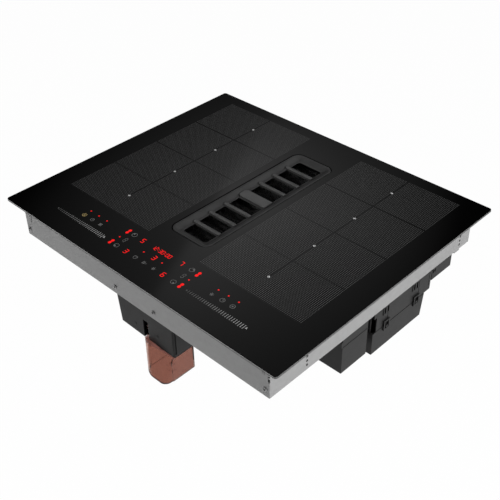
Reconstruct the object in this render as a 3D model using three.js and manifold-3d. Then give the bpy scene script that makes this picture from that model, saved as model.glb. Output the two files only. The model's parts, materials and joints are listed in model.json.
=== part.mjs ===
// Downdraft induction cooktop, in millimetres.
// +Z is up, +X right, the controls are at the front (-Y). The origin is the centre of the worktop
// cut-out, in the plane of the worktop: the rim gasket lies on that plane, the glass on the gasket.

import * as THREE from 'three';
import { mergeVertices } from 'three/addons/utils/BufferGeometryUtils.js';
import Module from 'manifold-3d';

const wasm = await Module();
wasm.setup();

// ---------------------------------------------------------------- driving dimensions

const gap = 0.3; // clearance of pieces that seat on or beside each other

// glass, gasket and worktop cut-out
const glassWidth = 600;
const glassDepth = 510;
const glassThickness = 4;
const glassCorner = 5;
const glassBevel = 0.7;
const gasketThickness = 2;
const gasketWidth = 10;
const gasketInset = 3;
const sideOverlap = 20; // glass beyond the worktop cut-out, left and right
const endOverlap = 10; // and at the front and the rear

// folded steel tub
const traySideClearance = 4;
const trayFrontClearance = 5;
const trayDepth = 62;
const traySheet = 1;

// inlet grille
const grilleWidth = 82;
const grilleLength = 304;
const grilleHeight = 10;
const grilleCorner = 14;
const grilleCentreY = 24.5;
const grilleReveal = 1.5;
const grilleRim = 3;
const dishDepth = 6;
const dishSlope = 12;
const slotWidth = 48;
const slotLength = 22;
const slotPitch = 33.7;
const slotsPerGroup = 4;
const slotBridge = 27;
const ribWidth = 6;
const ribHeight = 2.5;
const ribOverhang = 3;

// inlet well and grease filter
const wellWall = 3;
const wellFlange = 8;
const wellFlangeThickness = 2.5;
const grilleLedge = 3;
const filterLedge = 4;
const filterHeight = 24;
const filterClearance = 1;
const filterDrop = 8;
const filterSheet = 1.2;
const filterLip = 4;
const pleatPitch = 12;
const pleatSheet = 1.2;
const wellTail = 3;

// induction fields, one on each side of the well
const fieldWellMargin = 5;
const fieldSideMargin = 15.5;
const controlStrip = 83.3; // left free for the touch controls, from the tub's front wall
const fieldRearMargin = 8.7;
const coilsPerField = 4;
const coilMargin = 3;
const coilWinding = 30;
const coilThickness = 5;
const coilBaseThickness = 5;
const insulationThickness = 3;
const coilPlateSheet = 1.2;
const coilPlateMargin = 7;
const sensorHole = 12;

// power electronics under each field
const standoffHeight = 8;
const standoffRadius = 3.5;
const boardThickness = 1.6;
const boardSideMargin = 15;
const boardFanMargin = 31;
const boardRearMargin = 50;
const capacitorRadius = 11;
const capacitorHeight = 26;
const chokeRadius = 14;
const chokeHeight = 20;
const filmCapacitorHeight = 18;
const relayHeight = 16;
const connectorHeight = 14;
const heatsinkWidth = 60;
const heatsinkEndMargin = 32.5;
const heatsinkHeight = 24;
const heatsinkBase = 4;
const heatsinkFins = 7;
const finThickness = 1.5;
const fanFrameSize = 80;
const fanFrameHeight = 20;
const fanFrameWall = 3;
const fanHubRadius = 15;
const fanHubDisc = 4;
const fanPinRadius = 1.5;
const fanBlades = 7;
const fanBladeChord = 14;
const fanBladeThickness = 2;
const fanTipClearance = 2;
const fanFrontMargin = 12;
const floorSlotWidth = 5;
const floorSlotLength = 56;
const floorSlotPitch = 11;
const floorSlots = 6;

// touch controls under the front of the glass
const controlSideMargin = 38;
const controlFrontMargin = 6;
const controlRearMargin = 9.3;
const controlWall = 2;
const displayHeight = 7;
const displayWidth = 110;
const displayDepth = 34;

// air housing under the front of the tub
const airRight = 60;
const airLeftReach = 66;
const airDraft = 9;
const airFrontInset = 19;
const airRearMargin = 5;
const airFrontHeight = 78.2;
const airDeepLead = 5;
const airDeepHeight = 115.7;
const airWall = 2.5;
const catchSlotReach = 10;
const catchSlotWidth = 11;
const catchSlotHeight = 35.5;
const catchPocketDepth = 8;

// drip tank below the front of the air housing
const tankWidth = 68;
const tankLength = 61;
const tankOverhang = 1;
const tankHeight = 51.2;
const tankBigRadius = 34;
const tankSmallRadius = 9;
const tankWall = 2;
const drainRadius = 9;
const drainWall = 2;
const drainLength = 7;
const catchWidth = 7;
const catchHeight = 20;

// blower: a radial fan on a crosswise shaft, in a casing that splits at the seam
const blowerInset = 26;
const seamDrop = 79.2;
const casingHeight = 123.7;
const casingWall = 2.5;
const casingLength = 157;
const casingRearInset = 2;
const casingRearDraft = 2.5;
const casingLowerInset = 16.6;
const casingDraft = 8;
const casingLip = 1.5;
const fanAxisSetback = 67;
const fanAxisDrop = 58.7;
const impellerRadius = 50;
const impellerWidth = 60;
const impellerBlades = 16;
const impellerBlade = 1.6;
const impellerDisc = 3;
const impellerClearance = 8;
const inletRadius = 38;
const inletRingWall = 3;
const inletRingReach = 14;
const bulkheadThickness = 2.5;
const motorRadius = 33;
const motorLength = 60;
const shaftRadius = 4;
const shaftClearance = 0.5;
const clipWidth = 16;
const clipRise = 12;
const clipDrop = 16;
const clipThickness = 3;
const clipSetbacks = [41, 119];
const bossSetbacks = [39, 118, 150];
const bossWidth = 10;
const bossHeight = 15;
const bossRise = 14.5;

// outlet duct box at the rear right
const outletOverhang = 1;
const outletHeight = 63.3;

// electronics box at the near right
const boxWidth = 100;
const boxLength = 62.5;
const boxSpacing = 14.5;
const boxHeight = 109.7;
const coverHeight = 56.7;
const boxLip = 3;
const coverProud = 0.5;

// mains terminal and gland
const terminalWidth = 60;
const terminalDepth = 34;
const terminalHeight = 28;
const terminalInset = 51;
const glandRadius = 9;
const glandLength = 16;

// fasteners in the front wall
const cornerScrewInset = 8;
const housingScrewX = 44;
const screwDepth = 47.5;
const screwHeadRadius = 3.4;
const screwHeadHeight = 1.6;
const screwRadius = 1.8;
const screwLength = 8;

// holes for the hold-down springs in the side walls, slots in the front and rear walls
const springFrontInset = 75.4;
const springRearInset = 29.5;
const springHoleDepths = [36, 44, 52];
const springHoleRadius = 1.5;
const frontSlotInset = 16;
const frontSlotDepth = 20;
const frontSlotLength = 14;
const frontSlotWidth = 2;
const ventWidth = 5;
const ventLength = 30;
const ventPitch = 14;
const ventCount = 8;

// ---------------------------------------------------------------- places worked out from them

const glassTop = gasketThickness + glassThickness;
const underGlass = gasketThickness - gap;
const trayX = glassWidth / 2 - sideOverlap - traySideClearance;
const trayY = glassDepth / 2 - endOverlap - trayFrontClearance;
const trayBottom = -trayDepth;
const trayFloor = trayBottom + traySheet + gap; // what stands on the floor starts here
const underTray = trayBottom - gap; // what hangs below the tub starts here

const mouthX = grilleWidth / 2 + grilleReveal;
const mouthY = grilleLength / 2 + grilleReveal;
const wellX = mouthX + wellWall;
const wellY = mouthY + wellWall;
const grilleSeat = glassTop - grilleHeight - gap;
const throatX = grilleWidth / 2 - grilleLedge;
const throatY = grilleLength / 2 - grilleLedge;
const filterX = throatX - filterClearance;
const filterY = throatY - filterClearance;
const filterTop = grilleSeat - filterDrop;
const filterSeat = filterTop - filterHeight - gap;
const slotsY = [];
for (let i = 0; i < slotsPerGroup; i += 1) {
  const offset = slotBridge / 2 + slotLength / 2 + i * slotPitch;
  slotsY.push(grilleCentreY - offset, grilleCentreY + offset);
}
slotsY.sort((a, b) => a - b);

const plateInner = wellX + fieldWellMargin;
const plateOuter = trayX - fieldSideMargin;
const fieldCentreX = (plateInner + plateOuter) / 2;
const coilPlateWidth = plateOuter - plateInner;
const fieldWidth = coilPlateWidth - 2 * coilPlateMargin;
const fieldFront = -trayY + controlStrip;
const fieldRear = trayY - fieldRearMargin;
const fieldCentreY = (fieldFront + fieldRear) / 2;
const fieldLength = fieldRear - fieldFront;
const coilPitch = fieldLength / coilsPerField;
const insulationBottom = underGlass - insulationThickness;
const coilTop = insulationBottom - gap;
const coilBaseTop = coilTop - coilThickness - gap;
const coilPlateTop = coilBaseTop - coilBaseThickness - gap;
const boardBottom = trayFloor + standoffHeight;
const coolingFanY = fieldFront + fanFrontMargin + fanFrameSize / 2;
const boardFront = coolingFanY + fanFrameSize / 2 + boardFanMargin;
const boardRear = fieldRear - boardRearMargin;
const boardCentreY = (boardFront + boardRear) / 2;
const boardWidth = coilPlateWidth - 2 * boardSideMargin;
const boardLength = boardRear - boardFront;

const controlWidth = 2 * (trayX - controlSideMargin);
const controlDepth = controlStrip - controlFrontMargin - controlRearMargin;
const controlCentreY = -trayY + controlFrontMargin + controlDepth / 2;

const airLeft = -airLeftReach;
const airFront = -trayY + airFrontInset;
const airRear = grilleCentreY + wellY + airRearMargin;
const airFrontBottom = underTray - airFrontHeight;
const airDeepBottom = underTray - airDeepHeight;
const catchSlotLeft = -catchSlotReach;
const catchSlotRight = catchSlotLeft + catchSlotWidth;
const catchSlotTop = airFrontBottom + catchSlotHeight;
const tankLeft = airRight - tankWidth;
const tankFront = -trayY - tankOverhang;
const tankRear = tankFront + tankLength;
const tankTop = airFrontBottom - gap;
const tankBottom = tankTop - tankHeight;

const blowerRight = trayX - blowerInset;
const seamZ = underTray - seamDrop;
const casingBottom = underTray - casingHeight;
const casingRearTop = airRear - casingRearInset;
const casingRearSeam = casingRearTop - casingRearDraft;
const casingLowerRear = casingRearTop - casingLowerInset;
const casingFront = casingRearTop - casingLength;
const airDeepStart = casingFront - airDeepLead;
const fanAxisY = casingFront + fanAxisSetback;
const fanAxisZ = underTray - fanAxisDrop;
const clipCentres = clipSetbacks.map((setback) => casingFront + setback);
const bossCentres = bossSetbacks.map((setback) => casingFront + setback);
const bossBottom = seamZ + bossRise;
const outletRear = trayY + outletOverhang;
const outletBottom = underTray - outletHeight;
const boxLeft = blowerRight - boxWidth;
const boxRear = casingFront - boxSpacing;
const boxFront = boxRear - boxLength;
const boxBottom = underTray - boxHeight;
const boxSeam = underTray - coverHeight;

const casingLeft = airRight + gap;
const ringHole = inletRadius + inletRingWall + gap;
const impellerLeft = casingLeft + inletRingReach + gap;
const bulkheadX = impellerLeft + impellerWidth + impellerClearance;
const motorX = bulkheadX + bulkheadThickness + gap;

const terminalX = -(trayX - terminalInset);
const terminalZ = trayFloor + terminalHeight / 2;
const terminalRear = trayY - traySheet - 2 * glandRadius;

// ---------------------------------------------------------------- materials

const finish = (color, roughness, metalness = 0) =>
  new THREE.MeshStandardMaterial({ color, roughness, metalness });
const glass = finish(0x0b0b0c, 0.08);
const foam = finish(0x3a3a3a, 0.9);
const castIron = finish(0x4a4a4c, 0.65, 0.3);
const steel = finish(0xa8a8a6, 0.45, 0.8);
const stainless = finish(0xb9b9b9, 0.35, 0.9);
const aluminium = finish(0xc4c6c8, 0.4, 0.9);
const blackPlastic = finish(0x35363a, 0.6);
const greyPlastic = finish(0x5a5c60, 0.6);
const amber = finish(0x96543f, 0.15);
const mica = finish(0xd8d4c4, 0.9);
const copper = finish(0xa85a32, 0.4, 0.7);
const ferrite = finish(0x2b2b2e, 0.8);
const circuit = finish(0x1e5a34, 0.6);
const zinc = finish(0x9a9a9c, 0.4, 0.9);

// ---------------------------------------------------------------- geometry helpers

function box([x0, x1], [y0, y1], [z0, z1]) {
  const geometry = new THREE.BoxGeometry(x1 - x0, y1 - y0, z1 - z0);
  return geometry.translate((x0 + x1) / 2, (y0 + y1) / 2, (z0 + z1) / 2);
}

// a box given by its half width and half length round a centre
const block = (halfX, halfY, centreY, z) =>
  box([-halfX, halfX], [centreY - halfY, centreY + halfY], z);

function polygon(points) {
  return new THREE.Shape(points.map(([x, y]) => new THREE.Vector2(x, y)));
}

// a rectangle with round corners
function roundRect(halfX, halfY, radius, centreY = 0) {
  const shape = new THREE.Shape();
  const corners = [[1, -1, -0.5], [1, 1, 0], [-1, 1, 0.5], [-1, -1, 1]];
  for (const [sx, sy, turn] of corners) {
    const x = sx * (halfX - radius);
    const y = centreY + sy * (halfY - radius);
    shape.absarc(x, y, radius, turn * Math.PI, (turn + 0.5) * Math.PI, false);
  }
  return shape;
}

// an outline in XY pulled up from z0 to z1
function slab(shape, z0, z1, curveSegments = 4) {
  const options = { depth: z1 - z0, bevelEnabled: false, curveSegments };
  return new THREE.ExtrudeGeometry(shape, options).translate(0, 0, z0);
}

// an outline of [y, z] points pulled along X from x0 to x1
function prismX(points, x0, x1) {
  const options = { depth: x1 - x0, bevelEnabled: false };
  const geometry = new THREE.ExtrudeGeometry(polygon(points), options);
  geometry.rotateX(Math.PI / 2).rotateZ(Math.PI / 2);
  return geometry.translate(x0, 0, 0);
}

// an outline of [x, z] points pulled along Y from y0 to y1
function prismY(points, y0, y1) {
  const options = { depth: y1 - y0, bevelEnabled: false };
  const geometry = new THREE.ExtrudeGeometry(polygon(points), options);
  return geometry.rotateX(Math.PI / 2).translate(0, y1, 0);
}

// a cylinder from low to high along one axis, through the point given by the other two
function rod(axis, radius, low, high, [a, b], sides = 12) {
  const geometry = new THREE.CylinderGeometry(radius, radius, high - low, sides);
  const middle = (low + high) / 2;
  if (axis === 'x') return geometry.rotateZ(-Math.PI / 2).translate(middle, a, b);
  if (axis === 'y') return geometry.translate(a, middle, b);
  return geometry.rotateX(Math.PI / 2).translate(a, b, middle);
}

// a profile of [radius, height] points turned round an axis that points along +X or +Z
function turned(axis, profile, sides = 24) {
  const points = profile.map(([radius, height]) => new THREE.Vector2(radius, height));
  const geometry = new THREE.LatheGeometry(points, sides);
  return axis === 'x' ? geometry.rotateZ(-Math.PI / 2) : geometry.rotateX(Math.PI / 2);
}

function toSolid(geometry) {
  const bare = geometry.clone();
  bare.deleteAttribute('normal');
  bare.deleteAttribute('uv');
  const merged = mergeVertices(bare, 1e-4);
  const vertProperties = new Float32Array(merged.attributes.position.array);
  const triVerts = new Uint32Array(merged.index.array);
  return new wasm.Manifold(new wasm.Mesh({ numProp: 3, vertProperties, triVerts }));
}

function toGeometry(manifold) {
  const { vertProperties, triVerts } = manifold.getMesh();
  const geometry = new THREE.BufferGeometry();
  geometry.setAttribute('position', new THREE.BufferAttribute(vertProperties, 3));
  geometry.setIndex(new THREE.BufferAttribute(triVerts, 1));
  return geometry;
}

const cut = (body, ...tools) =>
  toGeometry(tools.reduce((rest, tool) => rest.subtract(toSolid(tool)), toSolid(body)));
const join = (body, ...others) =>
  toGeometry(others.reduce((sum, other) => sum.add(toSolid(other)), toSolid(body)));

const cooktop = new THREE.Group();

function add(name, geometry, material, parent = cooktop) {
  const mesh = new THREE.Mesh(geometry, material);
  mesh.name = name;
  parent.add(mesh);
  return mesh;
}

// ---------------------------------------------------------------- glass and gasket

function glassPanel() {
  const outline = roundRect(
    glassWidth / 2 - glassBevel, glassDepth / 2 - glassBevel, glassCorner - glassBevel);
  const options = {
    depth: glassThickness - 2 * glassBevel,
    bevelThickness: glassBevel,
    bevelSize: glassBevel,
    bevelSegments: 1,
    curveSegments: 4,
  };
  const panel = new THREE.ExtrudeGeometry(outline, options);
  panel.translate(0, 0, gasketThickness + glassBevel);
  const mouth = roundRect(mouthX, mouthY, grilleCorner + grilleReveal, grilleCentreY);
  return cut(panel, slab(mouth, 0, glassTop + 1));
}

function rimGasket() {
  const inset = gasketInset;
  const ring = roundRect(glassWidth / 2 - inset, glassDepth / 2 - inset, glassCorner);
  const inner = inset + gasketWidth;
  ring.holes.push(roundRect(glassWidth / 2 - inner, glassDepth / 2 - inner, glassCorner));
  return slab(ring, 0, gasketThickness - gap, 2);
}

add('glass_top', glassPanel(), glass);
add('rim_gasket', rimGasket(), foam);

// ---------------------------------------------------------------- steel tub

function steelTray() {
  const outer = block(trayX, trayY, 0, [trayBottom, underGlass]);
  const inner = block(
    trayX - traySheet, trayY - traySheet, 0, [trayBottom + traySheet, underGlass + 1]);
  const throughFloor = [trayBottom - 1, trayBottom + traySheet + 1];
  const tools = [block(wellX + gap, wellY + gap, grilleCentreY, throughFloor)];
  for (const side of [-1, 1]) {
    const x = side * fieldCentreX;
    for (let i = 0; i < floorSlots; i += 1) {
      const y = coolingFanY + (i - (floorSlots - 1) / 2) * floorSlotPitch;
      tools.push(box([x - floorSlotLength / 2, x + floorSlotLength / 2],
        [y - floorSlotWidth / 2, y + floorSlotWidth / 2], throughFloor));
    }
    for (const y of [-trayY + springFrontInset, trayY - springRearInset]) {
      for (const depth of springHoleDepths) {
        const wall = side * trayX;
        tools.push(rod('x', springHoleRadius, wall - 2, wall + 2, [y, -depth], 6));
      }
    }
    const slotX = side * (trayX - frontSlotInset);
    tools.push(box([slotX - frontSlotWidth / 2, slotX + frontSlotWidth / 2],
      [-trayY - 1, -trayY + 2], [-frontSlotDepth - frontSlotLength, -frontSlotDepth]));
    for (const screwX of [trayX - cornerScrewInset, housingScrewX]) {
      tools.push(rod('y', screwRadius + gap, -trayY - 1, -trayY + 2,
        [side * screwX, -screwDepth], 8));
    }
    for (let i = 0; i < ventCount; i += 1) {
      const ventX = x + (i - (ventCount - 1) / 2) * ventPitch;
      tools.push(box([ventX - ventWidth / 2, ventX + ventWidth / 2], [trayY - 2, trayY + 1],
        [trayBottom + ventLength / 2, trayBottom + 1.5 * ventLength]));
    }
  }
  tools.push(rod('y', glandRadius + gap, trayY - 2, trayY + 2, [terminalX, terminalZ], 12));
  const tub = cut(outer, inner, ...tools);
  const standoffs = [];
  for (const side of [-1, 1]) {
    for (const sx of [-1, 1]) {
      for (const sy of [-1, 1]) {
        const x = side * fieldCentreX + sx * (boardWidth / 2 - standoffRadius);
        const y = boardCentreY + sy * (boardLength / 2 - standoffRadius);
        const low = trayBottom + traySheet / 2;
        standoffs.push(rod('z', standoffRadius, low, boardBottom - gap, [x, y], 8));
      }
    }
  }
  return join(tub, ...standoffs);
}

add('steel_tray', steelTray(), steel);

// ---------------------------------------------------------------- inlet well

function inletWell() {
  const bottom = trayBottom - wellTail;
  const body = slab(roundRect(wellX, wellY, grilleCorner, grilleCentreY), bottom, underGlass);
  const flange = slab(
    roundRect(wellX + wellFlange, wellY + wellFlange, grilleCorner, grilleCentreY),
    underGlass - wellFlangeThickness, underGlass);
  const mouth = roundRect(mouthX, mouthY, grilleCorner + grilleReveal, grilleCentreY);
  const throat = block(throatX, throatY, grilleCentreY, [filterSeat, grilleSeat + 1]);
  const tail = block(throatX - filterLedge, throatY - filterLedge, grilleCentreY,
    [bottom - 1, filterSeat + 1]);
  return cut(join(body, flange), slab(mouth, grilleSeat, underGlass + 1), throat, tail);
}

add('inlet_well', inletWell(), blackPlastic);

// ---------------------------------------------------------------- grille

// a block whose four sides lean outwards from its floor to its mouth
function taperedBlock(lowX, lowY, highX, highY, centreY, z0, z1) {
  const corners = [];
  for (const [halfX, halfY, z] of [[lowX, lowY, z0], [highX, highY, z1]]) {
    for (const [sx, sy] of [[1, -1], [1, 1], [-1, 1], [-1, -1]]) {
      corners.push(sx * halfX, centreY + sy * halfY, z);
    }
  }
  const faces = [0, 2, 1, 0, 3, 2, 4, 5, 6, 4, 6, 7];
  for (let i = 0; i < 4; i += 1) {
    const j = (i + 1) % 4;
    faces.push(i, j, j + 4, i, j + 4, i + 4);
  }
  const geometry = new THREE.BufferGeometry();
  geometry.setAttribute('position', new THREE.Float32BufferAttribute(corners, 3));
  geometry.setIndex(faces);
  return geometry;
}

function inletGrille() {
  const outline = roundRect(grilleWidth / 2, grilleLength / 2, grilleCorner, grilleCentreY);
  const body = slab(outline, glassTop - grilleHeight, glassTop);
  const mouthHalfX = grilleWidth / 2 - grilleRim;
  const mouthHalfY = grilleLength / 2 - grilleRim;
  const floor = glassTop - dishDepth;
  const dish = taperedBlock(mouthHalfX - dishSlope, mouthHalfY - dishSlope, mouthHalfX, mouthHalfY,
    grilleCentreY, floor, glassTop + 0.01);
  const slots = slotsY.map((y) => block(slotWidth / 2, slotLength / 2, y,
    [glassTop - grilleHeight - 1, floor + dishDepth]));
  const ribs = [];
  for (let i = 0; i + 1 < slotsY.length; i += 1) {
    if (slotsY[i + 1] - slotsY[i] > slotPitch + 1) continue;
    const y = (slotsY[i] + slotsY[i + 1]) / 2;
    ribs.push(block(slotWidth / 2 + ribOverhang, ribWidth / 2, y, [floor - 1, floor + ribHeight]));
  }
  return join(cut(body, dish, ...slots), ...ribs);
}

add('inlet_grille', inletGrille(), castIron);

// ---------------------------------------------------------------- grease filter

function filterFrame() {
  const low = filterSeat + gap;
  const frame = block(filterX, filterY, grilleCentreY, [low, filterTop]);
  const inside = block(filterX - filterSheet, filterY - filterSheet, grilleCentreY,
    [low + filterSheet, filterTop + 1]);
  const hole = block(filterX - filterLip, filterY - filterLip, grilleCentreY, [low - 1, filterTop]);
  return cut(frame, inside, hole);
}

// a zigzag sheet folded across the length of the filter
function filterMesh() {
  const halfX = filterX - filterSheet - gap;
  const length = 2 * (filterY - filterSheet - gap);
  const low = filterSeat + gap + filterSheet + gap;
  const high = filterTop - gap;
  const folds = 2 * Math.round(length / pleatPitch);
  const step = length / folds;
  const start = grilleCentreY - length / 2;
  const upper = [];
  const lower = [];
  for (let i = 0; i <= folds; i += 1) {
    const y = start + i * step;
    const peak = i % 2 === 0;
    upper.push([y, peak ? high : low + 2 * pleatSheet]);
    lower.push([y, peak ? high - 2 * pleatSheet : low]);
  }
  return prismX([...lower, ...upper.reverse()], -halfX, halfX);
}

add('filter_frame', filterFrame(), stainless);
add('filter_mesh', filterMesh(), aluminium);

// ---------------------------------------------------------------- induction fields

function coilPlate() {
  const half = coilPlateWidth / 2;
  const length = fieldLength / 2;
  const body = block(half, length, 0, [trayFloor, coilPlateTop]);
  const inside = block(half - coilPlateSheet, length + 1, 0,
    [trayFloor - 1, coilPlateTop - coilPlateSheet]);
  const holes = [];
  for (let i = 0; i < coilsPerField; i += 1) {
    const y = (i - (coilsPerField - 1) / 2) * coilPitch;
    holes.push(rod('z', sensorHole, coilPlateTop - 2 * coilPlateSheet, coilPlateTop + 1, [0, y], 8));
  }
  return cut(body, inside, ...holes);
}

const coilHalfX = fieldWidth / 2 - coilMargin;
const coilHalfY = coilPitch / 2 - coilMargin;

function coilRing() {
  const ring = roundRect(coilHalfX, coilHalfY, coilHalfY * 0.7);
  const innerY = coilHalfY - coilWinding;
  ring.holes.push(roundRect(coilHalfX - coilWinding, innerY, innerY * 0.7));
  return slab(ring, -coilThickness, 0, 6);
}

function coilBase() {
  const plate = block(coilHalfX, coilHalfY, 0, [-coilBaseThickness, 0]);
  return cut(plate, rod('z', sensorHole, -coilBaseThickness - 1, 1, [0, 0], 8));
}

function powerBoard() {
  const x = boardWidth / 2;
  const y = boardLength / 2;
  const pcb = block(x, y, 0, [0, boardThickness]);
  const parts = [
    rod('z', capacitorRadius, 0, capacitorHeight, [-0.67 * x, -0.56 * y]),
    rod('z', capacitorRadius, 0, capacitorHeight, [-0.67 * x, -0.23 * y]),
    rod('z', chokeRadius, 0, chokeHeight, [-0.64 * x, 0.19 * y]),
    box([-0.89 * x, -0.5 * x], [0.51 * y, 0.93 * y], [0, filmCapacitorHeight]),
    box([0.5 * x, 0.83 * x], [-0.93 * y, -0.65 * y], [0, relayHeight]),
    box([0.55 * x, 0.7 * x], [0.37 * y, 0.93 * y], [0, connectorHeight]),
  ];
  return join(pcb, ...parts);
}

function heatsink() {
  const halfLength = boardLength / 2 - heatsinkEndMargin;
  const base = block(heatsinkWidth / 2, halfLength, 0, [0, heatsinkBase]);
  const fins = [];
  for (let i = 0; i < heatsinkFins; i += 1) {
    const x = -heatsinkWidth / 2 + finThickness / 2
      + i * ((heatsinkWidth - finThickness) / (heatsinkFins - 1));
    fins.push(box([x - finThickness / 2, x + finThickness / 2],
      [-halfLength, halfLength], [heatsinkBase / 2, heatsinkHeight]));
  }
  return join(base, ...fins);
}

function coolingFanFrame() {
  const half = fanFrameSize / 2;
  const shell = block(half, half, 0, [0, fanFrameHeight]);
  const bore = rod('z', half - fanFrameWall, -1, fanFrameHeight + 1, [0, 0], 20);
  const struts = [
    box([-half + 1, half - 1], [-2, 2], [0, fanHubDisc]),
    box([-2, 2], [-half + 1, half - 1], [0, fanHubDisc]),
    rod('z', fanHubRadius, 0, fanHubDisc, [0, 0], 16),
    rod('z', fanPinRadius, fanHubDisc / 2, fanFrameHeight - fanHubDisc, [0, 0], 8),
  ];
  return join(cut(shell, bore), ...struts);
}

function coolingFanRotor() {
  const low = fanHubDisc + gap;
  const high = fanFrameHeight - 1;
  const boreRadius = fanPinRadius + gap;
  const roof = fanFrameHeight - fanHubDisc + gap;
  const hub = turned('z', [
    [0, roof], [boreRadius, roof], [boreRadius, low], [fanHubRadius, low],
    [fanHubRadius, high], [0, high],
  ], 16);
  const tip = fanFrameSize / 2 - fanFrameWall - fanTipClearance;
  const blades = [];
  for (let i = 0; i < fanBlades; i += 1) {
    const blade = box([0.87 * fanHubRadius, tip],
      [-fanBladeThickness / 2, fanBladeThickness / 2], [-fanBladeChord / 2, fanBladeChord / 2]);
    blade.rotateX(0.7).translate(0, 0, (low + high) / 2);
    blades.push(blade.rotateZ((i * 2 * Math.PI) / fanBlades));
  }
  return join(hub, ...blades);
}

for (const [side, sign] of [['left', -1], ['right', 1]]) {
  const field = new THREE.Group();
  field.position.set(sign * fieldCentreX, fieldCentreY, 0);
  cooktop.add(field);
  add(`insulation_${side}`, block(fieldWidth / 2, fieldLength / 2, 0,
    [insulationBottom, underGlass]), mica, field);
  add(`coil_plate_${side}`, coilPlate(), aluminium, field);
  for (let i = 0; i < coilsPerField; i += 1) {
    const y = (i - (coilsPerField - 1) / 2) * coilPitch;
    const coil = add(`coil_${side}_${i + 1}`, coilRing(), copper, field);
    coil.position.set(0, y, coilTop);
    const base = add(`coil_base_${side}_${i + 1}`, coilBase(), ferrite, field);
    base.position.set(0, y, coilBaseTop);
  }

  const electronics = new THREE.Group();
  electronics.position.set(sign * fieldCentreX, 0, 0);
  cooktop.add(electronics);
  const board = add(`power_board_${side}`, powerBoard(), circuit, electronics);
  board.position.set(0, boardCentreY, boardBottom);
  const sink = add(`heatsink_${side}`, heatsink(), aluminium, electronics);
  sink.position.set(0, boardCentreY, boardBottom + boardThickness + gap);
  const frame = add(`cooling_fan_frame_${side}`, coolingFanFrame(), blackPlastic, electronics);
  frame.position.set(0, coolingFanY, trayFloor);
  const rotor = add(`cooling_fan_rotor_${side}`, coolingFanRotor(), greyPlastic, electronics);
  rotor.position.set(0, coolingFanY, trayFloor);
}

// ---------------------------------------------------------------- touch controls

const controlFloor = underGlass - displayHeight - boardThickness - 2 * gap - controlWall;

function controlCarrier() {
  const shell = block(controlWidth / 2, controlDepth / 2, controlCentreY, [controlFloor, underGlass]);
  const inside = block(controlWidth / 2 - controlWall, controlDepth / 2 - controlWall,
    controlCentreY, [controlFloor + controlWall, underGlass + 1]);
  return cut(shell, inside);
}

const touchBoardZ = controlFloor + controlWall + gap;
add('control_carrier', controlCarrier(), blackPlastic);
add('touch_board', block(controlWidth / 2 - controlWall - gap, controlDepth / 2 - controlWall - gap,
  controlCentreY, [touchBoardZ, touchBoardZ + boardThickness]), circuit);
add('display_block', block(displayWidth / 2, displayDepth / 2, controlCentreY,
  [touchBoardZ + boardThickness + gap, underGlass]), greyPlastic);

// ---------------------------------------------------------------- mains terminal and gland

add('terminal_block', box([terminalX - terminalWidth / 2, terminalX + terminalWidth / 2],
  [terminalRear - terminalDepth, terminalRear],
  [trayFloor, trayFloor + terminalHeight]), greyPlastic);

function cableGland() {
  const inner = terminalRear + gap;
  const outer = trayY + glandLength;
  const centre = [terminalX, terminalZ];
  const body = rod('y', glandRadius, inner, outer, centre, 12);
  const collar = rod('y', glandRadius * 1.3, trayY + gap, trayY + glandLength / 2, centre, 6);
  return cut(join(body, collar), rod('y', glandRadius / 2, inner - 1, outer + 1, centre, 12));
}

add('cable_gland', cableGland(), blackPlastic);

// ---------------------------------------------------------------- air housing

// side profile of the housing: shallow over the tank, deep beside the fan; inset makes the inside
function airProfile(inset, top) {
  return [
    [airFront + inset, top],
    [airFront + inset, airFrontBottom + inset],
    [airDeepStart + inset, airFrontBottom + inset],
    [airDeepStart + airFrontBottom - airDeepBottom + inset, airDeepBottom + inset],
    [airRear - inset, airDeepBottom + inset],
    [airRear - inset, top],
  ];
}

// its front profile, with the left wall leaning outwards to the top
function airFrontProfile(inset, top) {
  const low = airDeepBottom + inset;
  const lean = (airDraft * (top - low)) / (underTray - airFrontBottom);
  const drop = (airDraft * (airFrontBottom - low)) / (underTray - airFrontBottom);
  return [
    [airLeft + drop + inset, low],
    [airRight - inset, low],
    [airRight - inset, top],
    [airLeft + drop - lean + inset, top],
  ];
}

const overlap = (a, b) => toGeometry(toSolid(a).intersect(toSolid(b)));

function airVolume(inset, top) {
  const side = prismX(airProfile(inset, top), airLeft - 5 * airDraft, airRight);
  return overlap(side, prismY(airFrontProfile(inset, top), airFront, airRear));
}

const drainX = (tankLeft + airRight) / 2;
const drainY = tankRear - (tankRear - tankFront) / 2;

function airHousing() {
  const pocket = box([catchSlotLeft - airWall, catchSlotRight + airWall],
    [airFront + airWall / 2, airFront + catchPocketDepth + airWall],
    [airFrontBottom + airWall / 2, catchSlotTop + airWall]);
  const slot = box([catchSlotLeft, catchSlotRight], [airFront - 1, airFront + catchPocketDepth],
    [airFrontBottom - 1, catchSlotTop]);
  const spigot = rod('z', drainRadius, airFrontBottom - drainLength, airFrontBottom + airWall / 2,
    [drainX, drainY], 16);
  const drain = rod('z', drainRadius - drainWall, airFrontBottom - drainLength - 1,
    airFrontBottom + 2 * airWall, [drainX, drainY], 16);
  const ringWindow = rod('x', ringHole, airRight - 2 * airWall, airRight + 1,
    [fanAxisY, fanAxisZ], 24);
  const shell = cut(airVolume(0, underTray), airVolume(airWall, underTray + 1));
  return cut(join(shell, pocket, spigot), slot, drain, ringWindow);
}

add('air_housing', airHousing(), blackPlastic);

// ---------------------------------------------------------------- drip tank

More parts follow.
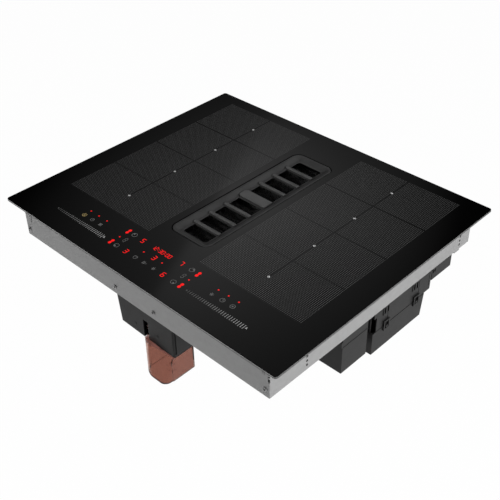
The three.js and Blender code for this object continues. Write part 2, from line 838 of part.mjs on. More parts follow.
// plan outline: flat rear and right side, a large round front left and a small round front right
function tankOutline(inset) {
  const left = tankLeft + inset;
  const right = airRight - inset;
  const rear = tankRear - inset;
  const front = tankFront + inset;
  const big = tankBigRadius - inset;
  const small = tankSmallRadius - inset;
  const shape = new THREE.Shape();
  shape.moveTo(right, rear);
  shape.lineTo(left, rear);
  shape.absarc(left + big, front + big, big, Math.PI, 1.5 * Math.PI, false);
  shape.absarc(right - small, front + small, small, 1.5 * Math.PI, 2 * Math.PI, false);
  return shape;
}

function dripTank() {
  const outer = slab(tankOutline(0), tankBottom, tankTop, 10);
  const inner = slab(tankOutline(tankWall), tankBottom + tankWall, tankTop + 1, 10);
  const lug = box([(catchSlotLeft + catchSlotRight - catchWidth) / 2,
    (catchSlotLeft + catchSlotRight + catchWidth) / 2],
  [airFront + gap, airFront + catchPocketDepth - gap], [tankTop - catchHeight, tankTop + catchHeight]);
  return join(cut(outer, inner), lug);
}

add('drip_tank', dripTank(), amber);

// ---------------------------------------------------------------- blower

function casingUpper() {
  const profile = (inset, low, high) => [
    [casingFront + casingLip + inset, low],
    [casingRearSeam - inset, low],
    [casingRearTop - inset, high],
    [casingFront + casingLip + inset, high],
  ];
  const top = underTray;
  const bottom = seamZ + gap / 2;
  const shell = cut(prismX(profile(0, bottom, top), casingLeft, blowerRight),
    prismX(profile(casingWall, bottom - 1, top - casingWall),
      casingLeft + casingWall, blowerRight - casingWall));
  const ledge = box([casingLeft + casingWall / 2, blowerRight - casingWall / 2],
    [casingLowerRear - casingWall, casingRearSeam - casingWall / 2], [bottom, bottom + casingWall]);
  const window = box([casingLeft + 2 * casingWall, blowerRight - 2 * casingWall],
    [casingRearSeam - 2 * casingWall, casingRearTop + 1],
    [outletBottom + 2 * casingWall, underTray - 2 * casingWall]);
  const inlet = rod('x', ringHole, casingLeft - 1, casingLeft + 2 * casingWall,
    [fanAxisY, fanAxisZ], 24);
  const roots = clipCentres.map((y) => box([blowerRight - 1, blowerRight + clipThickness],
    [y - clipWidth / 2, y + clipWidth / 2], [seamZ + gap, seamZ + clipRise]));
  const straps = clipCentres.map((y) => cut(
    box([blowerRight + gap, blowerRight + clipThickness], [y - clipWidth / 2, y + clipWidth / 2],
      [seamZ - clipDrop, seamZ + clipRise]),
    box([blowerRight - 1, blowerRight + clipThickness + 1], [y - clipWidth / 4, y + clipWidth / 4],
      [seamZ - 0.75 * clipDrop, seamZ - 0.15 * clipDrop])));
  const bosses = bossCentres.map((y) => box([blowerRight - 1, blowerRight + clipThickness - 1],
    [y - bossWidth / 2, y + bossWidth / 2], [bossBottom, bossBottom + bossHeight]));
  return join(cut(join(shell, ledge), window, inlet), ...roots, ...straps, ...bosses);
}

function casingLower() {
  const profile = (inset, low, high) => [
    [casingFront + inset, low],
    [casingLowerRear - casingDraft - inset, low],
    [casingLowerRear - inset, high],
    [casingFront + inset, high],
  ];
  const top = seamZ - gap / 2;
  const shell = cut(prismX(profile(0, casingBottom, top), casingLeft, blowerRight),
    prismX(profile(casingWall, casingBottom + casingWall, top + 1),
      casingLeft + casingWall, blowerRight - casingWall));
  const inlet = rod('x', ringHole, casingLeft - 1, casingLeft + 2 * casingWall,
    [fanAxisY, fanAxisZ], 24);
  const lugs = clipCentres.map((y) => box([blowerRight - 1, blowerRight + clipThickness],
    [y - clipWidth / 4 + gap, y + clipWidth / 4 - gap],
    [seamZ - 0.75 * clipDrop + gap, seamZ - 0.45 * clipDrop]));
  return join(cut(shell, inlet), ...lugs);
}

add('fan_casing_upper', casingUpper(), blackPlastic);
add('fan_casing_lower', casingLower(), blackPlastic);

const blower = new THREE.Group();
blower.position.set(0, fanAxisY, fanAxisZ);
cooktop.add(blower);

// bell mouth through the walls of the air housing and the casing
function inletRing() {
  const start = airRight - airWall;
  const end = casingLeft + inletRingReach;
  const outer = inletRadius + inletRingWall;
  return turned('x', [
    [inletRadius + 1, start], [outer, start], [outer, end - inletRingWall],
    [outer - 2, end], [inletRadius - 2, end], [inletRadius - 2, end - inletRingWall],
    [inletRadius + 1, start],
  ], 24);
}

// bulkhead between the fan chamber and the motor bay, in two levels like the casing round it
function bulkhead() {
  const inset = casingWall + gap;
  const upper = box([bulkheadX, bulkheadX + bulkheadThickness],
    [casingFront + casingLip + inset, casingLowerRear - casingWall - gap],
    [seamZ, underTray - inset]);
  const lower = box([bulkheadX, bulkheadX + bulkheadThickness],
    [casingFront + casingLip + inset, casingLowerRear - casingDraft - inset],
    [casingBottom + inset, seamZ + 1]);
  const hole = rod('x', shaftRadius + shaftClearance, bulkheadX - 1, motorX + 1,
    [fanAxisY, fanAxisZ], 16);
  return cut(join(upper, lower), hole);
}

function fanMotor() {
  const bore = shaftRadius + shaftClearance;
  const end = motorX + motorLength;
  return turned('x', [
    [bore, motorX], [motorRadius * 0.6, motorX], [motorRadius * 0.6, motorX + 6],
    [motorRadius, motorX + 10], [motorRadius, end - 6], [motorRadius * 0.7, end],
    [bore, end], [bore, motorX],
  ], 20);
}

function impeller() {
  const left = impellerLeft;
  const right = impellerLeft + impellerWidth;
  const bore = shaftRadius + gap;
  const disc = right - impellerDisc;
  const hub = turned('x', [
    [bore, left + impellerWidth / 3], [shaftRadius * 3, left + impellerWidth / 3],
    [shaftRadius * 4, disc], [impellerRadius, disc], [impellerRadius, right],
    [bore, right], [bore, left + impellerWidth / 3],
  ], 32);
  const rim = turned('x', [
    [inletRadius, left], [impellerRadius, left], [impellerRadius, left + impellerDisc],
    [inletRadius, left + impellerDisc], [inletRadius, left],
  ], 32);
  const blades = [];
  const depth = impellerRadius - inletRadius;
  for (let i = 0; i < impellerBlades; i += 1) {
    const blade = box([left + 1, right - 1], [-impellerBlade / 2, impellerBlade / 2],
      [-depth / 2, 0.42 * depth]);
    blade.rotateX(0.6).translate(0, 0, (inletRadius + impellerRadius) / 2);
    blades.push(blade.rotateX((i * 2 * Math.PI) / impellerBlades));
  }
  return join(hub, rim, ...blades);
}

add('inlet_ring', inletRing(), greyPlastic, blower);
add('fan_bulkhead', bulkhead(), greyPlastic);
add('fan_motor', fanMotor(), zinc, blower);
add('impeller', impeller(), greyPlastic, blower);
add('motor_shaft', rod('x', shaftRadius, impellerLeft + impellerWidth / 3 - 4,
  motorX + motorLength + 6, [0, 0], 16), stainless, blower);

// ---------------------------------------------------------------- outlet duct

function outletDuct() {
  const front = casingRearTop + gap;
  const outer = box([casingLeft, blowerRight], [front, outletRear], [outletBottom, underTray]);
  const inner = box([casingLeft + casingWall, blowerRight - casingWall],
    [front - 1, outletRear + 1], [outletBottom + casingWall, underTray - casingWall]);
  return cut(outer, inner);
}

add('outlet_duct', outletDuct(), blackPlastic);

// ---------------------------------------------------------------- electronics box

function electronicsTub() {
  const outer = box([boxLeft, blowerRight], [boxFront, boxRear], [boxBottom, boxSeam - gap]);
  const inner = box([boxLeft + airWall, blowerRight - airWall],
    [boxFront + airWall, boxRear - airWall], [boxBottom + airWall, boxSeam + 1]);
  return cut(outer, inner);
}

function electronicsCover() {
  const outer = box([boxLeft, blowerRight + coverProud], [boxFront - boxLip, boxRear],
    [boxSeam, underTray]);
  const inner = box([boxLeft + airWall, blowerRight - airWall],
    [boxFront + airWall, boxRear - airWall], [boxSeam - 1, underTray - airWall]);
  return cut(outer, inner);
}

add('electronics_tub', electronicsTub(), blackPlastic);
add('electronics_cover', electronicsCover(), blackPlastic);
add('blower_board', box([boxLeft + 2 * airWall, blowerRight - 2 * airWall],
  [boxFront + 2 * airWall, boxRear - 2 * airWall],
  [boxBottom + airWall + gap, boxBottom + airWall + gap + boardThickness]), circuit);

// ---------------------------------------------------------------- screws in the front wall

function screw() {
  const head = rod('y', screwHeadRadius, -screwHeadHeight - gap, -gap, [0, 0], 12);
  return join(head, rod('y', screwRadius, -gap - 1, screwLength, [0, 0], 8));
}

const screwPlaces = [['corner_screw', trayX - cornerScrewInset], ['housing_screw', housingScrewX]];
for (const [name, x] of screwPlaces) {
  for (const [side, sign] of [['left', -1], ['right', 1]]) {
    const mesh = add(`${name}_${side}`, screw(), zinc);
    mesh.position.set(sign * x, -trayY, -screwDepth);
  }
}

export default cooktop;
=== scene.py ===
# %% [markdown]
# # Dressing a downdraft induction cooktop
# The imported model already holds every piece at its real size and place. This lesson gives each
# visible surface its finish, and swaps the plainest solids for pieces with the folds, roundings,
# slots and printed marks of the real ones. Blender counts in metres, the tools for modelling take
# millimetres, and +Y is the rear.

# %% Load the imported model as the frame
import json
import math
from operator import itemgetter

import bmesh
import bpy
from mathutils import Matrix, Vector


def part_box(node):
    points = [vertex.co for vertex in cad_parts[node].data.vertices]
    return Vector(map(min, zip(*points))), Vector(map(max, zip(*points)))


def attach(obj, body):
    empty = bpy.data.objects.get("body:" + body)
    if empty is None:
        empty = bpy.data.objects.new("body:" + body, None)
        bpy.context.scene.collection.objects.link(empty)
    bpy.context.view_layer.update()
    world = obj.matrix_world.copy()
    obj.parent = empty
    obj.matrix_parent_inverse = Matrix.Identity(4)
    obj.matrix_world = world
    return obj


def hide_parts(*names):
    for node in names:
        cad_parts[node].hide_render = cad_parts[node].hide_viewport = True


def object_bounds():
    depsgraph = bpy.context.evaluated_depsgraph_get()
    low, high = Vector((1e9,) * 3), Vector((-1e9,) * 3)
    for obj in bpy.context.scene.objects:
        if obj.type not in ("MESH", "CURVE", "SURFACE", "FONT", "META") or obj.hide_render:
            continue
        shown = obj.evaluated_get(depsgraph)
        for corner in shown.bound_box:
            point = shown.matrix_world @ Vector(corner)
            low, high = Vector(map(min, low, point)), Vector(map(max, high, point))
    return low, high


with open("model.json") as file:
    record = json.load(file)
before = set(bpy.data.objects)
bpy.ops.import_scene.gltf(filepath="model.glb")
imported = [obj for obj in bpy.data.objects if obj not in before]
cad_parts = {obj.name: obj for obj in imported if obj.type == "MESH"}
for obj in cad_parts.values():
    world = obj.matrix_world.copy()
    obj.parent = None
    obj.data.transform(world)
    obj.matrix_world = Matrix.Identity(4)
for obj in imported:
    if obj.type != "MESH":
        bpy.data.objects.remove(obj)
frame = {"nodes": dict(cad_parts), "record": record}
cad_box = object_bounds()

MM = 0.001


def mm(*values):
    return Vector(values) * MM


print("CAD box, mm:", [round(v / MM, 1) for corner in cad_box for v in corner])

# %% [markdown]
# ## The camera
# The photo was taken a little from the right and well above the worktop. Four edges of the glass
# fix the view: the turn round the object, the height above the horizon, a slight tilt of the
# horizon, and the distance. A long lens keeps the perspective mild. A small shift puts the
# object where the photo has it, which leaves the directions of all edges alone.

# %% Aim the camera
VIEW_TURN = 0.7889
VIEW_RISE = 0.6378
VIEW_ROLL = -0.0247
VIEW_DISTANCE = 1.3293
VIEW_TARGET = mm(63.6, -80.9, 6)
FOCAL_PIXELS = 873.06  # focal length in pixels of the 500 pixel wide photo
CENTRE_X, CENTRE_Y = 237.95, 241.25  # pixel of the photo that the lens axis meets
IMAGE_SIZE = 500

back = Vector((math.sin(VIEW_TURN) * math.cos(VIEW_RISE),
               -math.cos(VIEW_TURN) * math.cos(VIEW_RISE),
               math.sin(VIEW_RISE)))
level = Vector((math.cos(VIEW_TURN), math.sin(VIEW_TURN), 0))
upward = back.cross(level)
right = math.cos(VIEW_ROLL) * level + math.sin(VIEW_ROLL) * upward
top = back.cross(right)

bpy.ops.object.select_all(action="DESELECT")
bpy.ops.object.camera_add()
camera = bpy.context.object
camera.name = "photo_camera"
camera.matrix_world = Matrix.Translation(VIEW_TARGET + back * VIEW_DISTANCE) @ Matrix(
    (right, top, back)).transposed().to_4x4()
camera.data.sensor_width = 36
camera.data.lens = camera.data.sensor_width * FOCAL_PIXELS / IMAGE_SIZE
camera.data.shift_x = (IMAGE_SIZE / 2 - CENTRE_X) / IMAGE_SIZE
camera.data.shift_y = (CENTRE_Y - IMAGE_SIZE / 2) / IMAGE_SIZE
bpy.context.scene.camera = camera
print("lens", round(camera.data.lens, 1), "mm, shift", round(camera.data.shift_x, 4),
      round(camera.data.shift_y, 4))

# %% [markdown]
# ## Shader sums as Python
# A procedural finish is mostly arithmetic on positions and noises. Wiring each sum by hand hides
# the idea, so a small class wraps a socket and turns + - * / and comparisons into Math nodes.
# Every other node comes from one method, `node`, which sets the node's type and settings first
# and then feeds its sockets with numbers, colours or other wires.

# %% A socket that takes part in sums
class Wire:
    def __init__(self, finish, socket):
        self.finish = finish
        self.socket = socket

    def math(self, operation, *values):
        return self.finish.node("ShaderNodeMath", {"operation": operation}, values)

    def __add__(self, other):
        return self.math("ADD", self, other)

    __radd__ = __add__

    def __sub__(self, other):
        return self.math("SUBTRACT", self, other)

    def __rsub__(self, other):
        return self.math("SUBTRACT", other, self)

    def __mul__(self, other):
        return self.math("MULTIPLY", self, other)

    __rmul__ = __mul__

    def __truediv__(self, other):
        return self.math("DIVIDE", self, other)

    def __gt__(self, other):
        return self.math("GREATER_THAN", self, other)

    def __lt__(self, other):
        return self.math("LESS_THAN", self, other)

    def __abs__(self):
        return self.math("ABSOLUTE", self)

    def root(self):
        return self.math("SQRT", self)

    def wrap(self, size):
        """Folds a length into one cell of a grid: from -size / 2 to size / 2."""
        return self.math("WRAP", self, size / 2, -size / 2)

    def ramp(self, low, high):
        """0 up to low, 1 from high on, and a straight rise between them."""
        return self.finish.node("ShaderNodeMapRange", {}, (self, low, high, 0.0, 1.0))


# %% A board that nodes are put on
class Board:
    def __init__(self, tree):
        self.tree = tree

    def node(self, kind, settings, inputs=(), output=0):
        made = self.tree.nodes.new(kind)
        for name, value in settings.items():
            setattr(made, name, value)
        pairs = inputs.items() if isinstance(inputs, dict) else enumerate(inputs)
        for key, value in pairs:
            self.feed(made.inputs[key], value)
        return Wire(self, made.outputs[output])

    def feed(self, socket, value):
        if isinstance(value, Wire):
            self.tree.links.new(value.socket, socket)
        else:
            socket.default_value = value

    def output(self, kind, name):
        """One named output of a node that has no inputs."""
        return Wire(self, self.node(kind, {}).socket.node.outputs[name])

    def emission(self, colour, strength):
        return self.node("ShaderNodeEmission", {}, {"Color": colour, "Strength": strength})


# %% A finish: one material, its shader and its nodes
class Finish(Board):
    def __init__(self, name, **constants):
        self.material = bpy.data.materials.new(name)
        self.material.use_nodes = True
        super().__init__(self.material.node_tree)
        self.shader = self.tree.nodes["Principled BSDF"]
        for socket, value in constants.items():
            self.feed(self.shader.inputs[socket.replace("_", " ")], value)

    def place(self):
        """The point on the piece, in metres."""
        return self.node("ShaderNodeTexCoord", {}, output="Object")

    def axes(self):
        split = self.node("ShaderNodeSeparateXYZ", {}, (self.place(),))
        return [Wire(self, socket) for socket in split.socket.node.outputs]

    def noise(self, size, detail=2.0, place=None):
        """Soft blotches about `size` metres across."""
        inputs = {"Vector": place or self.place(), "Scale": 1 / size, "Detail": detail}
        return self.node("ShaderNodeTexNoise", {}, inputs)

    def mix(self, factor, first, second):
        inputs = {0: factor, 6: first, 7: second}
        return self.node("ShaderNodeMix", {"data_type": "RGBA"}, inputs, output=2)

    def paint(self, colour, rough):
        self.feed(self.shader.inputs["Base Color"], colour)
        self.feed(self.shader.inputs["Roughness"], rough)

    def bump(self, height, depth):
        inputs = {"Height": height, "Distance": depth, "Strength": 1.0}
        self.feed(self.shader.inputs["Normal"], self.node("ShaderNodeBump", {}, inputs))


def srgb(red, green=None, blue=None):
    """A colour as a picture editor shows it, 0 to 255, made linear for the shader."""
    channels = (red, red if green is None else green, red if blue is None else blue)
    linear = [c / 255 / 12.92 if c <= 10 else ((c / 255 + 0.055) / 1.055) ** 2.4 for c in channels]
    return (*linear, 1.0)


print("mid grey 128 is", round(srgb(128)[0], 3), "in linear light")

# %% [markdown]
# ## Plain finishes
# Most hidden pieces need a finish that is true but quiet: a base colour that drifts a little, a
# roughness that drifts with it, and a fine grain in the bump. One function makes them all, from
# two tones, the size of the grain and how deep it is. Metals differ only in their constants.

# %% One recipe for moulded, cast, rolled and pressed surfaces
def grained(name, dark, light, rough, grain=0.8 * MM, depth=0.03 * MM, patch=25 * MM, **constants):
    finish = Finish(name, **constants)
    cloud = finish.noise(patch, 4.0)
    speck = finish.noise(grain)
    tone = (cloud * 0.7 + speck * 0.3).ramp(0.35, 0.65)
    finish.paint(finish.mix(tone, dark, light), rough + (cloud - 0.5) * 0.16)
    finish.bump(speck, depth)
    return finish.material


finishes = {
    "foam": grained("foam", srgb(26), srgb(38), 0.9, 0.6 * MM, 0.2 * MM),
    "cast_iron": grained("cast_iron", srgb(54), srgb(64), 0.55, 0.7 * MM, 0.04 * MM),
    "stainless": grained("stainless", srgb(150), srgb(178), 0.35, 0.4 * MM, 0.01 * MM,
                         Metallic=1.0),
    "aluminium": grained("aluminium", srgb(165), srgb(190), 0.42, 0.5 * MM, 0.02 * MM,
                         Metallic=1.0),
    # A lighter iron for the tops of the grille's raised bars: a painted highlight.
    "iron_highlight": grained("iron_highlight", srgb(78), srgb(90), 0.5, 0.7 * MM, 0.04 * MM),
    "black_plastic": grained("black_plastic", srgb(32), srgb(38), 0.5, 0.5 * MM, 0.03 * MM,
                             Specular_IOR_Level=0.25),
    # A darker plastic for the well under the grille: painted shade.
    "well_shade_plastic": grained("well_shade_plastic", srgb(16), srgb(24), 0.6, 0.5 * MM, 0.03 * MM),
    "grey_plastic": grained("grey_plastic", srgb(88), srgb(100), 0.55, 0.6 * MM, 0.03 * MM),
    "mica": grained("mica", srgb(206, 200, 182), srgb(228, 224, 210), 0.9, 1.2 * MM, 0.15 * MM),
    "ferrite": grained("ferrite", srgb(38), srgb(52), 0.75, 0.9 * MM, 0.08 * MM),
    "zinc": grained("zinc", srgb(150), srgb(172), 0.38, 0.6 * MM, 0.02 * MM, Metallic=0.4),
}
print(len(finishes), "plain finishes")

# %% [markdown]
# The tub is folded from galvanised sheet. Zinc freezes in large pale crystals, which a Voronoi
# texture gives: each cell gets its own tone and its own gloss. Rolling leaves faint streaks
# along the sheet, so a noise is stretched by a Mapping node before it joins the cells.

# %% Galvanised steel
galvanised = Finish("galvanised_steel", Metallic=0.35)
spangle = galvanised.node("ShaderNodeTexVoronoi", {}, {"Vector": galvanised.place(), "Scale": 130.0},
                          output="Color")
cell = galvanised.node("ShaderNodeSeparateColor", {}, (spangle,))
stretched = galvanised.node("ShaderNodeMapping", {},
                            {"Vector": galvanised.place(), "Scale": (30.0, 30.0, 1400.0)})
streak = galvanised.noise(1.0, 3.0, stretched)
tone = (cell * 0.35 + streak * 0.65).ramp(0.2, 0.8)
galvanised.paint(galvanised.mix(tone, srgb(146), srgb(160)), 0.46 + cell * 0.1)
galvanised.bump(streak, 0.01 * MM)
finishes["steel"] = galvanised.material
print("steel:", len(galvanised.tree.nodes), "nodes")

# %% [markdown]
# The coils are wound from stranded copper wire, turn beside turn. Modelling the turns would cost
# many faces for a piece under the glass, so the finish draws them: stripes as wide as a wire
# colour and bump the plain ring. The circuit boards get fine copper tracks under the green mask
# in the same way, from a brick texture.

# %% Wound copper and circuit board
winding = Finish("wound_copper", Metallic=0.55)
WIRE_PITCH = 2.2 * MM
turns = winding.axes()[0].wrap(WIRE_PITCH) / MM
turn_shade = (1 - (turns * turns) / 1.2).ramp(0.0, 1.0)
winding.paint(winding.mix(turn_shade, srgb(88, 44, 24), srgb(196, 112, 70)), 0.55 - turn_shade * 0.2)
winding.bump(turn_shade, 0.5 * MM)
finishes["copper"] = winding.material

board = Finish("circuit_board")
tracks = board.node("ShaderNodeTexBrick", {"offset": 0.35, "squash": 0.6},
                    {"Vector": board.place(), "Scale": 160.0, "Mortar Size": 0.03,
                     "Color1": srgb(22, 84, 48), "Color2": srgb(26, 96, 54),
                     "Mortar": srgb(96, 132, 66)})
board.paint(tracks, 0.35 + board.noise(3 * MM) * 0.3)
finishes["circuit_board"] = board.material
print("coil stripes are", round(WIRE_PITCH / MM, 1), "mm apart")

# %% [markdown]
# ## Dress the carried-over pieces
# The frame's record names a material slot for every piece. The pieces that the CAD draws well
# enough keep their solids, and get the finish of that slot. The well under the grille gets a
# darker plastic than the rest: painted shade, because it hardly sees light.

# %% Finish by material slot
def coat(piece, *materials):
    piece.data.materials.clear()
    for material in materials:
        piece.data.materials.append(material)


slot_of = {part["node"]: part["material_slot"] for part in frame["record"]["subparts"]}
for name, node in frame["nodes"].items():
    finish = finishes.get(slot_of.get(name))
    if name == "inlet_well":
        finish = finishes["well_shade_plastic"]
    if finish:
        coat(node, finish)
print("dressed", len(frame["nodes"]), "nodes")

# %% [markdown]
# The grease filter is folded from layers of expanded aluminium mesh, blackened by the shadow of
# the grille. A fine Voronoi net gives the wires: they are lighter and stand proud in the bump,
# and the openings between them stay almost black, as the deep layers of the real mesh do.

# %% Expanded metal mesh
NET_SCALE = 420.0  # cells in a metre
mesh_finish = Finish("filter_mesh", Metallic=0.4)
net = mesh_finish.node("ShaderNodeTexVoronoi", {"feature": "DISTANCE_TO_EDGE"},
                       {"Vector": mesh_finish.place(), "Scale": NET_SCALE})
wire = 1 - net.ramp(0.06, 0.16)
mesh_finish.paint(mesh_finish.mix(wire, srgb(16), srgb(120)), 0.5 - wire * 0.15)
mesh_finish.bump(wire, 0.4 * MM)
coat(frame["nodes"]["filter_mesh"], mesh_finish.material)
print("net cells", round(1000 / NET_SCALE, 1), "mm")

# %% [markdown]
# ## Tools for modelling by hand
# Each new piece starts as a primitive at its real size and place. These helpers do what a
# modeller does with the mouse: pick faces or edges by where they are and which way they point,
# then inset, extrude, bevel or delete what is picked. A Boolean modifier drills and slots, and a
# Solidify modifier turns a skin into a wall that grows inwards. They take millimetres, but `add`
# and `apply_modifier` hand Blender its own settings, which are in metres.

# %% Places in millimetres
class Point(tuple):
    """A place or a step in millimetres. It keeps more digits than a Vector does."""
    x, y, z = (property(itemgetter(index)) for index in range(3))

    def __add__(self, step):
        return Point(a + b for a, b in zip(self, step))

    def __sub__(self, step):
        return Point(a - b for a, b in zip(self, step))


def in_mm(corners):
    return [Point(value / MM for value in corner) for corner in corners]


FRONT, REAR, UP, DOWN = Vector((0, -1, 0)), Vector((0, 1, 0)), Vector((0, 0, 1)), Vector((0, 0, -1))


# %% Starting solids
def activate(piece):
    if bpy.context.object and bpy.context.object.mode != "OBJECT":
        bpy.ops.object.mode_set(mode="OBJECT")
    bpy.ops.object.select_all(action="DESELECT")
    piece.select_set(True)
    bpy.context.view_layer.objects.active = piece


def add(name, operator, **settings):
    """Adds and names a primitive, and moves its place, turn and size into its mesh."""
    bpy.ops.object.select_all(action="DESELECT")
    operator(**settings)
    piece = bpy.context.object
    piece.name = name
    bpy.ops.object.transform_apply(location=True, rotation=True, scale=True)
    return piece


def block(name, low, high):
    low, high = (Vector([value * MM for value in corner]) for corner in (low, high))
    return add(name, bpy.ops.mesh.primitive_cube_add, size=1, location=(low + high) / 2,
               scale=high - low)


def around(name, middle, half):
    """A block that reaches half its size to each side of its middle."""
    return block(name, Point(middle) - half, Point(middle) + half)


def rod(name, axis, radius, start, end, sides=24):
    """A cylinder from start to end, which lie on a line along the axis."""
    start, end = (Vector([value * MM for value in place]) for place in (start, end))
    turn = {"X": (0, math.pi / 2, 0), "Y": (math.pi / 2, 0, 0), "Z": (0, 0, 0)}[axis]
    return add(name, bpy.ops.mesh.primitive_cylinder_add, vertices=sides, radius=radius * MM,
               depth=(end - start).length, location=(start + end) / 2, rotation=turn)


def drill(name, axis, radius, middle, reach, sides=24):
    """A rod that reaches as far to each side of its middle."""
    way = [reach if letter == axis else 0 for letter in "XYZ"]
    return rod(name, axis, radius, Point(middle) - way, Point(middle) + way, sides)


# %% Picking and shaping in edit mode
def pick(piece, kind, test):
    """Opens the piece in edit mode with just the faces, edges or vertices that pass the test."""
    activate(piece)
    bpy.ops.object.mode_set(mode="EDIT")
    bpy.ops.mesh.select_mode(type=kind)
    bpy.ops.mesh.select_all(action="DESELECT")
    mesh = bmesh.from_edit_mesh(piece.data)
    for item in {"FACE": mesh.faces, "EDGE": mesh.edges, "VERT": mesh.verts}[kind]:
        if kind == "FACE":
            item.select_set(bool(test(item.calc_center_median() / MM, item.normal)))
        elif kind == "EDGE":
            first, second = (vert.co / MM for vert in item.verts)
            item.select_set(bool(test((first + second) / 2, (second - first).normalized())))
        else:
            item.select_set(bool(test(item.co / MM)))
    bmesh.update_edit_mesh(piece.data)


def leave_edit():
    bpy.ops.object.mode_set(mode="OBJECT")


def near(value, place, reach=0.05):
    return abs(value - place) < reach


def upright(middle, along):
    """Passes edges that stand up."""
    return abs(along.z) > 0.9


def at_height(height):
    return lambda middle, along: near(middle.z, height)


def facing(*ways):
    return lambda middle, normal: any(normal.dot(way) > 0.9 for way in ways)


def round_edges(piece, radius, segments, test):
    """Rounds the edges that pass the test."""
    pick(piece, "EDGE", test)
    bpy.ops.mesh.bevel(offset=radius * MM, segments=segments, affect="EDGES")
    leave_edit()


def remove_faces(piece, test):
    pick(piece, "FACE", test)
    bpy.ops.mesh.delete(type="FACE")
    leave_edit()


def extrude_rear(piece, length):
    pick(piece, "FACE", facing(REAR))
    bpy.ops.mesh.extrude_region_move(TRANSFORM_OT_translate={"value": (0, length * MM, 0)})
    leave_edit()


def inset(thickness, depth=0.0):
    bpy.ops.mesh.inset(thickness=thickness * MM, depth=depth * MM)


def pierce(piece, width):
    """Makes a ring of a disc: its two ends are inset and bridged."""
    pick(piece, "FACE", facing(UP, DOWN))
    inset(width)
    bpy.ops.mesh.bridge_edge_loops()
    leave_edit()
    return piece


def reshape(piece, test, step=(0, 0, 0), scale=None, centre=None):
    """Scales the vertices that pass the test about a centre, then moves them by a step."""
    pick(piece, "VERT", test)
    if scale:
        bpy.ops.transform.resize(value=scale, center_override=[value * MM for value in centre])
    if any(step):
        bpy.ops.transform.translate(value=[value * MM for value in step])
    leave_edit()


# %% Modifiers that are applied at once
def apply_modifier(piece, kind, **settings):
    modifier = piece.modifiers.new(kind.lower(), kind)
    for name, value in settings.items():
        setattr(modifier, name, value)
    activate(piece)
    bpy.ops.object.modifier_apply(modifier=modifier.name)


def bevel_sharp(piece, radius):
    """Breaks all edges sharper than 40 degrees."""
    apply_modifier(piece, "BEVEL", width=radius * MM, segments=2, limit_method="ANGLE",
                   angle_limit=math.radians(40), use_clamp_overlap=True)


def thicken(piece, wall, radius=0.0):
    """Gives a skin a wall that grows inwards, then may round its sharp edges.

    A skin that is rounded first by less than the wall would turn inside out in its corners."""
    apply_modifier(piece, "SOLIDIFY", thickness=wall * MM, offset=-1, use_even_offset=True)
    if radius:
        bevel_sharp(piece, radius)


def join(name, *pieces):
    activate(pieces[0])
    for piece in pieces[1:]:
        piece.select_set(True)
    bpy.ops.object.join()
    bpy.context.object.name = name
    return bpy.context.object


def combine(piece, operation, tool):
    apply_modifier(piece, "BOOLEAN", operation=operation, object=tool, solver="EXACT")
    bpy.data.objects.remove(tool)


def cut(piece, *cutters):
    """Takes the cutters out of the piece and throws them away."""
    combine(piece, "DIFFERENCE", join("cutter", *cutters))


def fuse(piece, *additions):
    for addition in additions:
        combine(piece, "UNION", addition)


def smooth(piece, angle):
    """Shades roundings smoothly. Large faces keep their own direction, so they stay flat."""
    activate(piece)
    bpy.ops.object.shade_smooth_by_angle(angle=math.radians(angle))
    apply_modifier(piece, "WEIGHTED_NORMAL", keep_sharp=True, weight=90)


# %% Handing a finished piece to the frame
def settle(piece, slot, *nodes, body="hob", angle=35):
    """Shades the piece, gives it its body, and stands it in for its CAD nodes.

    A piece that has no coat of its own gets the finish of its slot."""
    if angle:
        smooth(piece, angle)
    if not any(piece.data.materials):
        coat(piece, finishes[slot])
    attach(piece, body)
    if nodes:
        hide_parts(*nodes)
    size = [round(side / MM, 1) for side in piece.dimensions]
    print(f"{piece.name}: {len(piece.data.polygons)} faces, {size} mm")


# %% [markdown]
# ## The glass
# The top is one sheet of black ceramic glass, 4 mm thick, with ground and polished edges and a
# window for the inlet. It is a box whose upright edges are rounded first and whose rims are then
# bevelled, because a bevel that runs round a finished corner stays even. The window is cut by a
# rounded block, and its own rims are bevelled after the cut.

# %% Cut the glass panel
PRINT_HEIGHT = 0.08  # the printed marks lie this far above the glass, and reach the CAD top
GLASS_CORNER, GLASS_RIM = 5, 0.5
WINDOW_CORNER, GRILLE_REVEAL, WINDOW_REACH = 15.5, 1.5, 20
glass_low, glass_high = in_mm(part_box("glass_top"))
glass_high -= (0, 0, PRINT_HEIGHT)
glass = block("glass_panel", glass_low, glass_high)
round_edges(glass, GLASS_CORNER, 8, upright)
round_edges(glass, GLASS_RIM, 2, at_height(glass_high.z))
round_edges(glass, GLASS_RIM, 1, at_height(glass_low.z))

grille_low, grille_high = in_mm(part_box("inlet_grille"))
reveal = (GRILLE_REVEAL, GRILLE_REVEAL, WINDOW_REACH)
window = block("window", grille_low - reveal, grille_high + reveal)
round_edges(window, WINDOW_CORNER, 10, upright)
cut(glass, window)
round_edges(glass, GLASS_RIM, 2, lambda middle, along: (
    near(middle.z, glass_high.z) and grille_low.x - 3 < middle.x < grille_high.x + 3
    and grille_low.y - 3 < middle.y < grille_high.y + 3))
print("glass panel:", len(glass.data.polygons), "faces")

# %% [markdown]
# The two cooking fields are screen-printed under a fine grid of pale dots. Lines without dots
# part each field into four zones, and a second line runs along its middle. All of it is a sum of
# distances: how far a point is from the centre of its grid cell makes the dots, and how far it
# is from the dividing lines hides them there. The print follows real millimetres, so it is the
# same from any side.

# %% Print the cooking fields
FIELD_INNER, FIELD_OUTER = 56.5 * MM, 257 * MM
FIELD_FRONT, FIELD_REAR = -158.3 * MM, 231.7 * MM
DOT_PITCH_X, DOT_PITCH_Y = 3.07 * MM, 2.97 * MM
DOT_RADIUS, DOT_BLUR = 0.62, 0.2  # in millimetres
LINE_HALF = 1.3 * MM
CROSS_X, CROSSES_Y = 156.1, (-111.9, -10.8, 86.4, 184.1)  # in millimetres
zone_length = (FIELD_REAR - FIELD_FRONT) / 4

